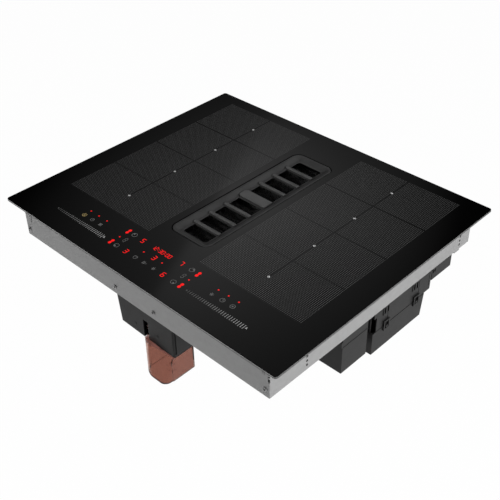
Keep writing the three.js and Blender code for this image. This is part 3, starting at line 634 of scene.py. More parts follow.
printed = Finish("printed_glass", Roughness=0.09)
x, y, _ = printed.axes()
side = abs(x)
dot_x = side.wrap(DOT_PITCH_X) / MM
dot_y = y.wrap(DOT_PITCH_Y) / MM
reach = (dot_x * dot_x + dot_y * dot_y).root()
dot = 1 - reach.ramp(DOT_RADIUS - DOT_BLUR, DOT_RADIUS + DOT_BLUR)
inside = (side > FIELD_INNER) * (side < FIELD_OUTER) * (y > FIELD_FRONT) * (y < FIELD_REAR)
rows = abs((y - FIELD_FRONT).wrap(zone_length)) > LINE_HALF
spine = 1 - (abs(side - CROSS_X * MM) < LINE_HALF * 0.7) * (y > CROSSES_Y[0] * MM)
shown = dot * inside * rows * spine
mottle = printed.noise(60 * MM, 3.0)
ink = printed.mix(mottle, srgb(92), srgb(104))
printed.paint(printed.mix(shown, srgb(4), ink), 0.07 + shown * 0.25 + mottle * 0.03)
print("dots across one field:", round((FIELD_OUTER - FIELD_INNER) / DOT_PITCH_X))

# %% [markdown]
# The glass edge is ground, then polished a little: it scatters light like frosted glass. Its grey
# is painted in a band over the upper half of the edge, a painted highlight, and the band is painted
# darker on the right, as painted shade; the rest of the edge stays dark. It is a second material on
# the outer faces that do not point up or down. The edge of the inlet window is left black, because
# the grille covers it.

# %% Grind the edges
ground = Finish("ground_glass", Specular_IOR_Level=0.3)
x, _, z = ground.axes()
foot = glass_low.z
# Painted light: the band is a painted highlight on the ground edge, and its right end is painted darker
# as shade.
highlight_band = z.ramp((foot + 1.6) * MM, (foot + 2.0) * MM) * (1 - z.ramp((foot + 3.2) * MM, (foot + 3.5) * MM))
right_end_shade = x.ramp((glass_high.x - 8) * MM, (glass_high.x - 2) * MM)
frost = ground.noise(1.5 * MM)
grey = ground.mix(right_end_shade, srgb(172), srgb(104))
ground.paint(ground.mix(highlight_band, srgb(34), grey), 0.4 + frost * 0.2)
ground.bump(frost, 0.02 * MM)
coat(glass, printed.material, ground.material)
for face in glass.data.polygons:
    outer = max(abs(face.center.x), abs(face.center.y)) > 200 * MM
    face.material_index = 1 if outer and abs(face.normal.z) < 0.2 else 0
settle(glass, "ceramic_glass", "glass_top", angle=15)

# %% [markdown]
# ## Printed marks and lamps
# The touch controls are thin marks on the glass: seven-segment numbers and lamps that shine red
# through it, grey symbols, two sliders and the white crosses of the zones. Each mark is a flake
# a few hundredths thick, drawn from bars, discs and rings, and the flakes of one colour are one
# piece. A picture texture could not stay this sharp when the camera comes close.

# %% Flakes: bars, discs and rings
mark_base, mark_top = (glass_high.z - 0.04) * MM, cad_box[1].z
mark_middle, mark_depth = (mark_base + mark_top) / 2, mark_top - mark_base


def bar(x, y, length, width, turn=0.0):
    """A flat bar, turned from the X axis by an angle."""
    return add("bar", bpy.ops.mesh.primitive_cube_add, size=1,
               location=(x * MM, y * MM, mark_middle), rotation=(0, 0, turn),
               scale=(length * MM, width * MM, mark_depth))


def disc(x, y, radius, stretch=1.0, sides=16):
    return add("disc", bpy.ops.mesh.primitive_cylinder_add, vertices=sides, radius=radius * MM,
               depth=mark_depth, location=(x * MM, y * MM, mark_middle), scale=(1, stretch, 1))


def ring(x, y, radius, width=0.8, stretch=1.0):
    return pierce(disc(x, y, radius, stretch, 24), width)


def print_marks(name, flakes, material):
    marks = join(name, *flakes)
    coat(marks, material)
    settle(marks, "ceramic_glass", angle=0)


# %% Seven-segment numbers
SEGMENTS = {  # which of the seven bars are lit: top, upper left, upper right, middle, and so on
    "0": "1110111", "1": "0010010", "2": "1011101", "3": "1011011", "4": "0111010",
    "5": "1101011", "6": "1101111", "7": "1010010", "8": "1111111", "9": "1111011",
}


def digit(figure, x, y, width=5.0, height=9.0, stroke=1.2):
    half_w, half_h = width / 2, height / 2
    quarter = height / 4
    upright_turn = math.pi / 2
    places = [(0, half_h, 0), (-half_w, quarter, upright_turn), (half_w, quarter, upright_turn),
              (0, 0, 0), (-half_w, -quarter, upright_turn), (half_w, -quarter, upright_turn),
              (0, -half_h, 0)]
    lit = [place for place, on in zip(places, SEGMENTS[figure]) if on == "1"]
    return [bar(x + dx, y + dy, (half_h if turn else width) - 0.35 * stroke, stroke, turn)
            for dx, dy, turn in lit]


def clock(x, y, groups, pitch=5.7, colon=3.6):
    flakes = []
    for index, group in enumerate(groups):
        for figure in group:
            flakes += digit(figure, x, y, width=3.9, height=7.4, stroke=1.0)
            x += pitch
        if index + 1 < len(groups):
            x -= pitch / 2 - colon / 2
            flakes += [disc(x, y - 1.5, 0.6, sides=8), disc(x, y + 1.5, 0.6, sides=8)]
            x += pitch / 2 + colon / 2
    return flakes


# %% Red lamps
glow = Finish("red_lamp", Base_Color=srgb(40, 0, 0), Roughness=0.3, Emission_Strength=1.0)
glow.feed(glow.shader.inputs["Emission Color"],
          glow.mix(glow.noise(4 * MM), srgb(255, 30, 28), srgb(250, 20, 22)))

lamps = []
for figure, x, y in (("5", -43.4, -178.5), ("7", 41.5, -177), ("3", -42.8, -213.5),
                     ("6", 40.7, -213), ("3", 1.3, -195.3)):
    lamps += digit(figure, x, y)
lamps += clock(-19, -178, ("12", "30", "00"))
for x, y in ((-78.7, -178), (-78.6, -212.8), (77.8, -212.5), (77.8, -177.8)):
    lamps += [disc(x, y - 3.1, 2.6, 1.15), disc(x, y + 3.1, 2.6, 1.15), bar(x, y, 1.8, 3)]
for x, y in ((-166.3, -182.8), (-146, -183), (-125.9, -183), (-78.2, -196.4), (-21.3, -196.4),
             (19, -195.7), (77.2, -195.8), (124.4, -182.3), (144.2, -181.9), (164.3, -181.8)):
    lamps.append(disc(x, y, 1.35, sides=12))
print_marks("display_lamps", lamps, glow.material)

# %% [markdown]
# The grey symbols are generic signs: rings that show which zone a lamp belongs to, a lock, a
# timer, a pause sign, a fan and two links. They are drawn from the same bars and rings. The
# colour drifts slightly, as thin screen print does.

# %% Grey symbols
def ink_finish(name, dark, light):
    finish = Finish(name)
    finish.paint(finish.mix(finish.noise(2 * MM), dark, light), 0.45)
    return finish.material


symbols = []
for x, y, dx, dy in ((-64.8, -177.7, -1, 1), (-64.9, -213.7, -1, -1),
                     (63.8, -214, 1, -1), (63.5, -176.7, 1, 1)):
    symbols += [ring(x, y, 4.6, 0.75), disc(x + dx * 1.7, y + dy * 1.7, 1.5)]
for x, y in ((-65.3, -196.1), (64.5, -195)):
    symbols += [ring(x, y - 2.4, 2.5, 0.6, 1.15), ring(x, y + 2.4, 2.5, 0.6, 1.15)]
symbols += [bar(-125.9, y, 6, 1.3) for y in (-196.3, -198.3, -194.3)]
symbols += [ring(-146, -196.5, 3.6, 0.7), bar(-146, -195.2, 0.7, 2.8), bar(-145, -196.5, 2, 0.7)]
symbols += [ring(-21, -214, 3.4, 0.7), bar(-23.3, -211, 3, 0.8, 0.8), bar(-18.7, -211, 3, 0.8, -0.8)]
symbols += [bar(-3.2, -213.5, 1.2, 6), bar(-0.6, -213.5, 1.2, 6), bar(2.6, -213.5, 3.4, 0.8, 0.9)]
symbols += [bar(19.6, -213.4, 6.5, 0.9, turn) for turn in (0.3, 1.35, 2.4)]
symbols += [bar(124.2, -195.7, 7, 0.8, turn) for turn in (0.0, 1.05, 2.1)]
symbols += [ring(144.2, -194.3, 4.2, 0.75), bar(144.2, -193, 0.8, 3), bar(145.4, -194.3, 2.4, 0.8)]
symbols += [ring(164.1, -194.2, 4.2, 0.75), disc(164.1, -194.2, 1.3)]
print_marks("printed_symbols", symbols, ink_finish("grey_ink", srgb(104), srgb(126)))
power = [ring(-165.8, -196.6, 4.2, 1.0), bar(-165.8, -194.6, 0.9, 4.4), disc(-165.8, -197.2, 1.6)]
print_marks("power_symbol", power, ink_finish("gold_ink", srgb(150, 132, 84), srgb(176, 158, 108)))

# %% [markdown]
# Each slider starts with a small dot and grows to the right: the ticks get longer and the print
# gets denser. The ticks come from a loop, and the finish brightens along X, which reads the
# place on the piece, so both sliders need only their own start.

# %% Sliders
TICKS, TICK_PITCH, TICK_WIDTH = 27, 4.18, 0.85
FIRST_TICK = 4.2  # how far the first one is from the dot


def slider(name, start, y):
    length = TICKS * TICK_PITCH
    flakes = [disc(start, y, 1.4)]
    for i in range(TICKS):
        tall = 5.4 + 3.6 * (i + 1) / TICKS
        flakes.append(bar(start + FIRST_TICK + i * TICK_PITCH, y, TICK_WIDTH, tall))
    flakes.append(disc(start + FIRST_TICK + length, y, 2.3, 1.2, sides=3))
    ink = Finish(name + "_ink")
    rise = ((ink.axes()[0] - start * MM) / (length * MM)).ramp(0.0, 1.0)
    ink.paint(ink.mix(rise * 0.85 + ink.noise(2 * MM) * 0.15, srgb(72), srgb(178)), 0.45)
    print_marks(name, flakes, ink.material)


slider("slider_left", -212.4, -213.5)
slider("slider_right", 91.8, -213.5)

# %% White crosses of the zones
crosses = [bar(x, y, *size) for x in (-CROSS_X, CROSS_X) for y in CROSSES_Y
           for size in ((4.0, 1.7), (1.7, 4.0))]
print_marks("zone_crosses", crosses, ink_finish("white_ink", srgb(240), srgb(255)))

# %% [markdown]
# ## The grille
# The grille is a casting with a narrow rim, a smooth dish and eight slots. Two insets make the
# dish: the first leaves the rim, the second makes the slope and sinks the floor. Slots are cut
# by rounded blocks. Bars with two rows of small beads lie between the slots, so a pan that is
# dragged over them does not tip in, and a raised bridge carries the middle. A pocket under the
# floor leaves it thin, so the slots look wide open from the side.

# %% Dish and slots
GRILLE_CORNER, RIM, SLOPE, DISH_DEPTH, SLOPE_STEPS = 14, 2.2, 10.6, 5.6, 8
SLOT_LENGTH, SLOT_WIDTH, SLOT_PITCH, BRIDGE = 50.4, 24.4, 33.7, 24.6
SLOT_CORNER, END_CORNER = 1.5, 4.5
SKIRT, FLOOR_SKIN = 9, 1.0
grille_y = (grille_low.y + grille_high.y) / 2
dish_floor = grille_high.z - DISH_DEPTH

grille = block("grille_casting", grille_low, grille_high)
round_edges(grille, GRILLE_CORNER, 10, upright)
pick(grille, "FACE", facing(UP))
inset(RIM)
for step in range(SLOPE_STEPS):
    share = (math.cos(math.pi * step / SLOPE_STEPS)
             - math.cos(math.pi * (step + 1) / SLOPE_STEPS)) / 2
    inset(SLOPE / SLOPE_STEPS, -DISH_DEPTH * share)
leave_edit()

slots_y = sorted(grille_y + sign * (BRIDGE / 2 + SLOT_WIDTH / 2 + i * SLOT_PITCH)
                 for sign in (-1, 1) for i in range(4))
slot_cutters = []
for y in slots_y:
    slot = around("slot", (0, y, grille_low.z), (SLOT_LENGTH / 2, SLOT_WIDTH / 2, WINDOW_REACH))
    outer_end = y - SLOT_WIDTH / 2 if y == slots_y[0] else y + SLOT_WIDTH / 2
    if y in (slots_y[0], slots_y[-1]):
        round_edges(slot, END_CORNER, 6, lambda middle, along: (
            upright(middle, along) and near(middle.y, outer_end)))
    round_edges(slot, SLOT_CORNER, 3, lambda middle, along: (
        upright(middle, along) and not near(middle.y, outer_end, END_CORNER + 0.1)
        and abs(middle.x) > SLOT_LENGTH / 2 - 0.1))
    slot_cutters.append(slot)
cut(grille, *slot_cutters)
cut(grille, block("pocket", grille_low + (SKIRT, SKIRT, -1),
                  (grille_high.x - SKIRT, grille_high.y - SKIRT, dish_floor - FLOOR_SKIN)))
bevel_sharp(grille, 0.3)
smooth(grille, 35)

# %% Beaded bars and the bridge
BAR_LEFT, BAR_RIGHT, BAR_WIDTH, BAR_HEIGHT = -30, 27, 6.6, 2.4
BRIDGE_LEFT, BRIDGE_HEIGHT = -31, 2.6
BEAD_PITCH, BEAD_RADIUS = 2.3, 1.05
bars_y = [(a + b) / 2 for a, b in zip(slots_y, slots_y[1:]) if b - a < SLOT_PITCH * 1.01]


def raised_bar(name, left, front, rear, height, end, rim):
    """A bar over the dish's floor. Its left end and its rim each have a radius and steps."""
    top = dish_floor + height
    piece = block(name, (left, front, dish_floor - FLOOR_SKIN), (BAR_RIGHT, rear, top))
    round_edges(piece, *end, lambda middle, along: upright(middle, along) and middle.x < left + 1)
    round_edges(piece, *rim, at_height(top))
    return piece


def bead_row(y, left, right, height):
    """Small domes along X: one is modelled, and an Array modifier repeats it."""
    row = add("beads", bpy.ops.mesh.primitive_ico_sphere_add, subdivisions=1,
              radius=BEAD_RADIUS * MM, scale=(0.75, 1.25, 0.9),
              location=(left * MM, y * MM, (dish_floor + height) * MM))
    apply_modifier(row, "ARRAY", count=int((right - left) / BEAD_PITCH) + 1,
                   use_relative_offset=False, use_constant_offset=True,
                   constant_offset_displace=(BEAD_PITCH * MM, 0, 0))
    return row


ribs = []
for y in bars_y:
    ribs.append(raised_bar("bar", BAR_LEFT, y - BAR_WIDTH / 2, y + BAR_WIDTH / 2, BAR_HEIGHT,
                           (BAR_WIDTH / 2.1, 5), (0.7, 2)))
    ribs += [bead_row(y + shift, BAR_LEFT + 3, BAR_RIGHT - 1, BAR_HEIGHT)
             for shift in (-BAR_WIDTH / 4, BAR_WIDTH / 4)]
bridge_front, bridge_rear = grille_y - BRIDGE / 2 + 2.8, grille_y + BRIDGE / 2 - 0.6
ribs += [raised_bar("bridge", BRIDGE_LEFT, bridge_front, bridge_rear, BRIDGE_HEIGHT, (7, 6), (0.8, 3)),
         bead_row(bridge_front + 1.6, -26, 25, BRIDGE_HEIGHT)]
grille = join("grille_casting", grille, *ribs)
coat(grille, finishes["cast_iron"], finishes["iron_highlight"])
# The tops of the bars, beads and bridge get the lighter iron, a painted highlight.
for face in grille.data.polygons:
    middle = face.center / MM
    raised = middle.z > dish_floor + 1.6 and abs(middle.x) < 30
    in_dish = bars_y[0] - BAR_WIDTH < middle.y < bars_y[-1] + BAR_WIDTH
    face.material_index = 1 if raised and in_dish else 0
settle(grille, "cast_iron", "inlet_grille", body="grille", angle=40)

# %% [markdown]
# ## The tub
# The tub is one sheet, folded up on four sides. Its skin is a box without a lid, its folds are
# rounded, and a Solidify modifier gives it 1 mm of steel on the inside. Then it is punched like
# the real sheet: holes for the hold-down springs, slots in the corners, cooling slots in the
# floor and the rear wall, and the openings for the well and the cable.

# %% Fold the tub
SHEET, FOLD = 1.0, 1.6
tub_low, tub_high = in_mm(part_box("steel_tray"))
tub = block("tub_shell", tub_low, tub_high)
remove_faces(tub, facing(UP))
round_edges(tub, FOLD, 3, lambda middle, along: (
    upright(middle, along) or near(middle.z, tub_low.z)))
thicken(tub, SHEET)

# %% Punch the tub
SPRING_ROWS_Y, SPRING_HOLES_Z = (-164.6, 210.5), (-36, -44, -52)
SCREWS_X, SCREW_Z = (268, 44), -47.5
FIELD_X, COOLING_FAN_Y = 155.5, -104.7
wall_x, wall_y = tub_high.x, tub_high.y
well_low, well_high = in_mm(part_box("inlet_well"))
punches = [block("well_hole", (-46, well_low.y - 0.5, tub_low.z - 10),
                 (46, well_high.y + 0.5, tub_low.z + 10))]
for sign in (-1, 1):
    punches += [drill("spring_hole", "X", 2.2, (sign * wall_x, y, z), 3, 16)
                for y in SPRING_ROWS_Y for z in SPRING_HOLES_Z]
    punches += [drill("screw_hole", "Y", 2.1, (sign * x, -wall_y, SCREW_Z), 3, 16) for x in SCREWS_X]
    punches += [around("floor_slot", (sign * FIELD_X, COOLING_FAN_Y + (i - 2.5) * 11, tub_low.z),
                       (28, 2.5, 5)) for i in range(6)]
    punches += [around("vent", (sign * FIELD_X + (i - 3.5) * 14, wall_y, tub_low.z + 30),
                       (2.5, 5, 15)) for i in range(8)]
punches += [block("corner_slot", (-259.9, -243, -32.5), (-258.1, -235, -18.5)),
            block("relief", (272.6, -242, -32.6), (278, -238.6, -26)),
            block("relief", (272.6, -242, -23.8), (278, -238.6, -21))]
gland_low, gland_high = in_mm(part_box("cable_gland"))
gland_x, gland_z = (gland_low.x + gland_high.x) / 2, (gland_low.z + gland_high.z) / 2
punches.append(drill("gland_hole", "Y", 9.3, (gland_x, wall_y, gland_z), 4))
cut(tub, *punches)
print("punched", len(punches), "openings")

# %% [markdown]
# Small things show that the tub is real sheet work: a relief beside each front corner, the
# folded tab that closes it, a bracket under the right wall and the pressed standoffs that carry
# the boards. They are joined to the tub, since on the real one they are the same sheet. Behind
# the corner and the spring holes stand black sheets of painted shade, so the openings read dark.

# %% Tabs, bracket, standoffs and shade sheets
details = [block("corner_tab", (x, -240.5, -22), (x + 1.6, -239.7, -18.6))
           for x in (-264, -258, 262, 266)]
details.append(block("bracket", (268, 200, -64.6), (275.4, 214, -62.1)))
for side_name in ("left", "right"):
    board_low, board_high = in_mm(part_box("power_board_" + side_name))
    details += [rod("standoff", "Z", 3.5, (x, y, tub_low.z + SHEET / 2), (x, y, board_low.z - 0.3), 12)
                for x in (board_low.x + 3.5, board_high.x - 3.5)
                for y in (board_low.y + 3.5, board_high.y - 3.5)]
settle(join("tub_shell", tub, *details), "steel", "steel_tray")

# Black sheets of painted shade behind the corner slot and the spring holes.
shade_sheets = [block("corner_shade_sheet", (270.2, -238.95, -36), (274.9, -235.6, -16))]
shade_sheets += [around("spring_hole_shade", (sign * (wall_x - 2.525), y, -44), (1.475, 5, 14))
            for sign in (-1, 1) for y in SPRING_ROWS_Y]
settle(join("spring_hole_shades", *shade_sheets), "black_plastic")

# %% [markdown]
# ## Screws
# Four pan-head screws hold the front wall. A head is a short cylinder whose outer rim is rounded
# in a few steps, with a recess for the driver sunk in its face: the inner face is inset and
# pushed in. One function makes all four.

# %% Pan-head screws
def pan_head(name):
    low, high = in_mm(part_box(name))
    x, z, seat = (low.x + high.x) / 2, (low.z + high.z) / 2, low.y + 1.6
    head = rod(name + "_head", "Y", (high.x - low.x) / 2, (x, low.y, z), (x, seat, z))
    round_edges(head, 1.0, 3, lambda middle, along: near(middle.y, low.y))
    pick(head, "FACE", lambda middle, normal: normal.y < -0.99 and near(middle.y, low.y))
    inset(0.4)
    inset(0.05, -1.4)
    leave_edit()
    shank = rod("shank", "Y", 1.8, (x, seat, z), (x, high.y, z), 16)
    settle(join(name + "_pan_head", head, shank), "zinc", name)


for kind in ("corner_screw", "housing_screw"):
    for side_name in ("left", "right"):
        pan_head(f"{kind}_{side_name}")

# %% [markdown]
# ## The air housing
# The black housing hangs under the front of the tub. It is shallow over the drip tank and drops
# by a slope to the depth of the fan. It grows like clay: a first block, its rear face extruded
# twice, the bottom edge pulled down in between. The left wall leans, because the moulding has to
# leave its tool, and the shallow floor falls a little to the right, so that water finds the
# drain. The slot in its front lets a finger and the tank's catch in.

# %% Shape the air housing
FRONT_BOTTOM, DEEP_BOTTOM, DEEP_START = -140.5, -178, 22
LEFT_FOOT, LEAN, DRAIN_FALL = -66, 9, 3.5
air_low, air_high = in_mm(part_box("air_housing"))
fall = FRONT_BOTTOM - DEEP_BOTTOM
air = block("air_housing_shell", (LEFT_FOOT, air_low.y, FRONT_BOTTOM),
            (air_high.x, DEEP_START, air_high.z))
extrude_rear(air, fall)
reshape(air, lambda place: place.y > DEEP_START + 1 and near(place.z, FRONT_BOTTOM), (0, 0, -fall))
extrude_rear(air, air_high.y - DEEP_START - fall)
for height in (air_high.z, DEEP_BOTTOM):
    reshape(air, lambda place: near(place.x, LEFT_FOOT) and near(place.z, height),
            ((FRONT_BOTTOM - height) * LEAN / (air_high.z - FRONT_BOTTOM), 0, 0))
reshape(air, lambda place: (
    place.y < DEEP_START + 1 and near(place.z, FRONT_BOTTOM) and place.x > 0), (0, 0, -DRAIN_FALL))
remove_faces(air, facing(UP))
round_edges(air, 3.2, 4, lambda middle, along: near(middle.y, air_low.y) and upright(middle, along))
MOULD_WALL, MOULD_ROUND = 2.5, 0.8
thicken(air, MOULD_WALL, MOULD_ROUND)

# %% Slot, fan window and drain
SLOT_X, SLOT_TOP = (-9.5, 2), -106
FAN_Y, FAN_Z, FAN_BORE = 94, -121, 41.3
DRAIN_X, DRAIN_Y = 26, -210.5


def over_drain(name, radius, low, high):
    """An upright rod on the drain's axis, from and to a height over the shallow floor."""
    return rod(name, "Z", radius, (DRAIN_X, DRAIN_Y, FRONT_BOTTOM + low),
               (DRAIN_X, DRAIN_Y, FRONT_BOTTOM + high), 32)


catch_slot = block("catch_slot", (SLOT_X[0], air_low.y - 5, FRONT_BOTTOM - 5),
                   (SLOT_X[1], air_low.y + 8, SLOT_TOP))
round_edges(catch_slot, 1.5, 3, lambda middle, along: (
    abs(along.y) > 0.9 and near(middle.z, SLOT_TOP)))
fan_window = drill("fan_window", "X", FAN_BORE, (60, FAN_Y, FAN_Z), 10, 48)
fuse(air, over_drain("spigot", 9, -7, 1.2))
cut(air, catch_slot, fan_window, over_drain("drain_bore", 7, -9, 6))
cut(air, block("corner_groove", (58.6, -217.8, -139), (62, -215.2, -60)))

# %% [markdown]
# Two faint moulded signs flank the slot: an open and a closed ring with a short bar, which tell
# which way the tank locks. They stand 0.3 mm proud of the face, so they catch a little light.

# %% Moulded lock signs
def lock_sign(x, z, opened):
    front, rear = air_low.y - 0.3, air_low.y + 0.6
    return [block("lock_body", (x - 2.4, front, z - 3), (x + 2.4, rear, z + 0.6)),
            rod("lock_bow", "Y", 1.9, (x + opened, front, z + 1), (x + opened, rear, z + 1), 16)]


signs = lock_sign(-30, -125, 1.6) + lock_sign(24, -121, 0.0)
settle(join("air_housing_shell", air, *signs), "black_plastic", "air_housing")

# %% [markdown]
# ## The drip tank
# The tank is a cup of clear amber plastic that clips under the housing. Its floor has one very
# round corner and one tight one, each a bevel on a single upright edge. The floor is narrower
# than the top, and the front wall leans back towards the housing, so the tank leaves its mould:
# the rounded corners of the top are scaled about their sharp corners and pushed back. The wall
# is 2 mm. The part in front of the housing is closed on top, and the mouth lies behind it, under
# the drain. One function makes both the outer form and the hollow that is cut out of it.

# %% Mould the tank
TANK_TOP, TANK_FRONT, TANK_REAR, TANK_RIGHT = -140.8, -243, -180, 58.9
WALL = 2
LEFT_ROUND, RIGHT_ROUND = 34, 14
LEFT_LEAN, RIGHT_LEAN = 14, 21
FOOT_SHARE, LEFT_SHARE, RIGHT_SHARE = 0.9, 0.42, 0.25
tank_low, tank_high = in_mm(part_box("drip_tank"))


def tank_form(name, gap, top):
    """The tank's outer form, or with a gap the hollow inside it."""
    left, front, foot = tank_low.x + gap, TANK_FRONT + gap, tank_low.z + gap
    right = TANK_RIGHT - gap
    corners = ((left, LEFT_ROUND - gap, 14, LEFT_SHARE, LEFT_LEAN),
               (right, RIGHT_ROUND - gap, 8, RIGHT_SHARE, RIGHT_LEAN))
    form = block(name, (left, front, foot), (right, TANK_REAR - gap, top))
    for x, radius, steps, _, _ in corners:
        round_edges(form, radius, steps, lambda middle, along: (
            upright(middle, along) and near(middle.x, x) and near(middle.y, front)))
    reshape(form, lambda place: near(place.z, foot), scale=(FOOT_SHARE, 1, 1), centre=(right, 0, foot))
    for x, radius, _, share, lean in corners:
        reshape(form, lambda place: (
            near(place.z, top) and abs(place.x - x) < radius + 0.1 and place.y < -200),
            (0, lean, 0), (share, share, 1), (x, front, top))
    reshape(form, lambda place: near(place.z, top) and place.x > 30, (0, 0, -DRAIN_FALL))
    return form


tank = tank_form("drip_tank_cup", 0, TANK_TOP)
round_edges(tank, 3, 4, at_height(tank_low.z))
cut(tank, tank_form("hollow", WALL, TANK_TOP - WALL))
mouth = block("mouth", (-4, -217, TANK_TOP - 10), (55, -184, TANK_TOP + WALL))
round_edges(mouth, 4, 4, upright)
cut(tank, mouth)

# %% Side panel, catch and drain ring
PANEL_TOP, CATCH_TOP = TANK_TOP - DRAIN_FALL - 0.2, -120.8
panel = block("side_panel", (TANK_RIGHT - 1.2, -226.5, tank_low.z + 2),
              (tank_high.x, TANK_REAR - 1, PANEL_TOP))
round_edges(panel, 7, 6, lambda middle, along: (
    abs(along.x) > 0.9 and near(middle.z, PANEL_TOP) and middle.y < -200))
round_edges(panel, 1.0, 2, lambda middle, along: (
    upright(middle, along) and near(middle.x, tank_high.x) and middle.y > -200))
catch = block("catch", (-7.5, -217, -160.8), (-1.5, -213.3, CATCH_TOP))
round_edges(catch, 1.2, 3, at_height(CATCH_TOP))
thumb = block("thumb_ledge", (-7.6, -222.5, -142.3), (3.5, -213.5, -140.5))
floor_ring = pierce(rod("floor_ring", "Z", 9, (33, -207, tank_low.z + 1.9),
                        (33, -207, tank_low.z + 3.4), 32), 0.9)
rib = block("floor_rib", (7.6, -226, tank_low.z + 1.9), (8.6, -183, tank_low.z + 4))
fuse(tank, panel, catch, thumb, floor_ring, rib)

# %% [markdown]
# Clear plastic is a matter of light passing through: full Transmission with a tinted colour, a
# plastic's refraction and a very smooth face. The tint drifts a little, because the colour in a
# moulding is never quite even. The closed top gets a paler, blurred material, a painted highlight,
# and the rounding under the wall and the edge of the side panel are painted nearly black as shade.

# %% Amber plastic
AMBER = ((187, 151, 139), (179, 145, 135), 0.04)


def clear_plastic(name, light, deep, rough, foot=False):
    """Tinted plastic that light passes through. Towards its foot a wall may be painted nearly black, as
    painted shade.
    """
    plastic = Finish(name, Transmission_Weight=1.0, IOR=1.2)
    drift = plastic.noise(30 * MM)
    tint = plastic.mix(drift, srgb(*light), srgb(*deep))
    # Painted shade: near its foot the wall is painted nearly black.
    if foot:
        rise = plastic.axes()[2].ramp((tank_low.z + 3.4) * MM, (tank_low.z + 4.6) * MM)
        tint = plastic.mix(rise, srgb(40, 36, 42), tint)
    plastic.paint(tint, rough + drift * 0.04)
    return plastic.material


coat(tank, clear_plastic("amber_plastic", *AMBER),
     clear_plastic("amber_top_highlight", (160, 136, 142), (150, 128, 134), 0.3),
     grained("amber_edge_shade", srgb(58, 46, 50), srgb(78, 60, 62), 0.3, 1 * MM, 0.0,
             Transmission_Weight=0.3),
     clear_plastic("amber_wall", *AMBER, foot=True))
# Index 1 paints a highlight on the closed top; index 2 paints the foot's rounding and the panel's edge
# dark as shade; index 3 carries the painted shade at the foot of the outer walls.
for face in tank.data.polygons:
    middle, normal = face.center / MM, face.normal
    foot = middle.z < tank_low.z + 3 and 0.1 < -normal.z < 0.97
    step = middle.x > TANK_RIGHT + 0.1 and abs(normal.y) > 0.2 and normal.z < 0.3
    near_side = normal.x > 0.3 or normal.y < -0.3
    outermost = middle.x > TANK_RIGHT - 0.5 or middle.y < -222
    if middle.z > TANK_TOP - 6 and normal.z > 0.5:
        face.material_index = 1
    elif (foot and near_side) or step:
        face.material_index = 2
    elif near_side and abs(normal.z) < 0.5 and outermost:
        face.material_index = 3
settle(tank, "amber_plastic", "drip_tank", body="tank", angle=30)

# %% [markdown]
# ## The fan casing
# The fan sits on its side in a casing of two halves that snap together. Both halves are boxes
# open at the seam, with rounded outer edges and a wall that grows inwards. The upper half has
# the round inlet on its left side, a window to the outlet at the rear, straps that reach over
# the seam and shallow joints on its right side. The lower half carries the lugs they hook on.

# %% Upper half
CASING_RIGHT, SEAM = 250, -141.35
REAR_TOP, REAR_SEAM = 184, 182.5
LOOPS_Y, CATCHES_Y = (60, 141), (58, 136.5)
CATCH_OFFSETS = (-5.2, 2.2)  # two windows in each catch
THROUGH = (-4, 1)  # from inside the right wall to outside it
up_low, up_high = in_mm(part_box("fan_casing_upper"))


def on_side(name, depth, along, height):
    """A block at the casing's right wall: its reach past the wall, its Y and its Z."""
    return block(name, (CASING_RIGHT + depth[0], along[0], height[0]),
                 (CASING_RIGHT + depth[1], along[1], height[1]))


def fan_inlet():
    return drill("inlet", "X", FAN_BORE, (61.5, FAN_Y, FAN_Z), 6.5, 48)


upper = block("casing_upper_shell", (up_low.x, up_low.y, SEAM), (CASING_RIGHT, REAR_TOP, up_high.z))
reshape(upper, lambda place: near(place.y, REAR_TOP) and near(place.z, SEAM),
        (0, REAR_SEAM - REAR_TOP, 0))
remove_faces(upper, facing(DOWN))
thicken(upper, MOULD_WALL, MOULD_ROUND)
cut(upper, block("outlet_window", (up_low.x + 5, REAR_SEAM - 6, -120.6),
                 (CASING_RIGHT - 5, REAR_TOP + 6, up_high.z - 5)), fan_inlet(),
    *[on_side("loop_window", THROUGH, (y - 5, y + 4), (-140, -132.5)) for y in LOOPS_Y],
    on_side("front_recess", (-7, 1), (up_low.y - 1, up_low.y + 6.5), (-150, -112)))
cut(upper, *[on_side("joint", (-0.6, 2), (y - 0.6, y + 0.6), (-131, up_high.z - 2))
             for y in (64, 148, 177)])
cut(upper, *[on_side("catch_window", THROUGH, (y + offset, y + offset + 4), height)
             for y, height in zip(CATCHES_Y, ((-115, -102), (-114, -103)))
             for offset in CATCH_OFFSETS])

# %% Straps, bosses and the rear ledge
def strap(y):
    """A snap loop: a bar over the seam with a window for the lug."""
    reach = up_high.x - CASING_RIGHT
    piece = on_side("strap", (-1, reach), (y - 7.5, y + 7.5), (-149, -130))
    cut(piece, on_side("loop", (-2, reach + 1), (y - 5, y + 5), (-146.5, -132.5)))
    cut(piece, on_side("behind", (-2, 0.3), (y - 9, y + 9), (-160, -141.2)))
    return piece


def boss(y):
    """A raised pad with the two windows of a catch."""
    piece = on_side("boss", (-1, 1.2), (y - 7.5, y + 7.5), (-116.5, -100.5))
    for offset in CATCH_OFFSETS:
        cut(piece, on_side("boss_window", (-3, 3), (y + offset, y + offset + 4), (-115.2, -102.5)))
    return piece


parts = [strap(y) for y in LOOPS_Y] + [boss(y) for y in CATCHES_Y]
parts.append(block("ledge", (up_low.x + 1.2, 165, SEAM), (CASING_RIGHT - 1.2, 180.5, SEAM + 2.5)))
settle(join("casing_upper_shell", upper, *parts), "black_plastic", "fan_casing_upper")

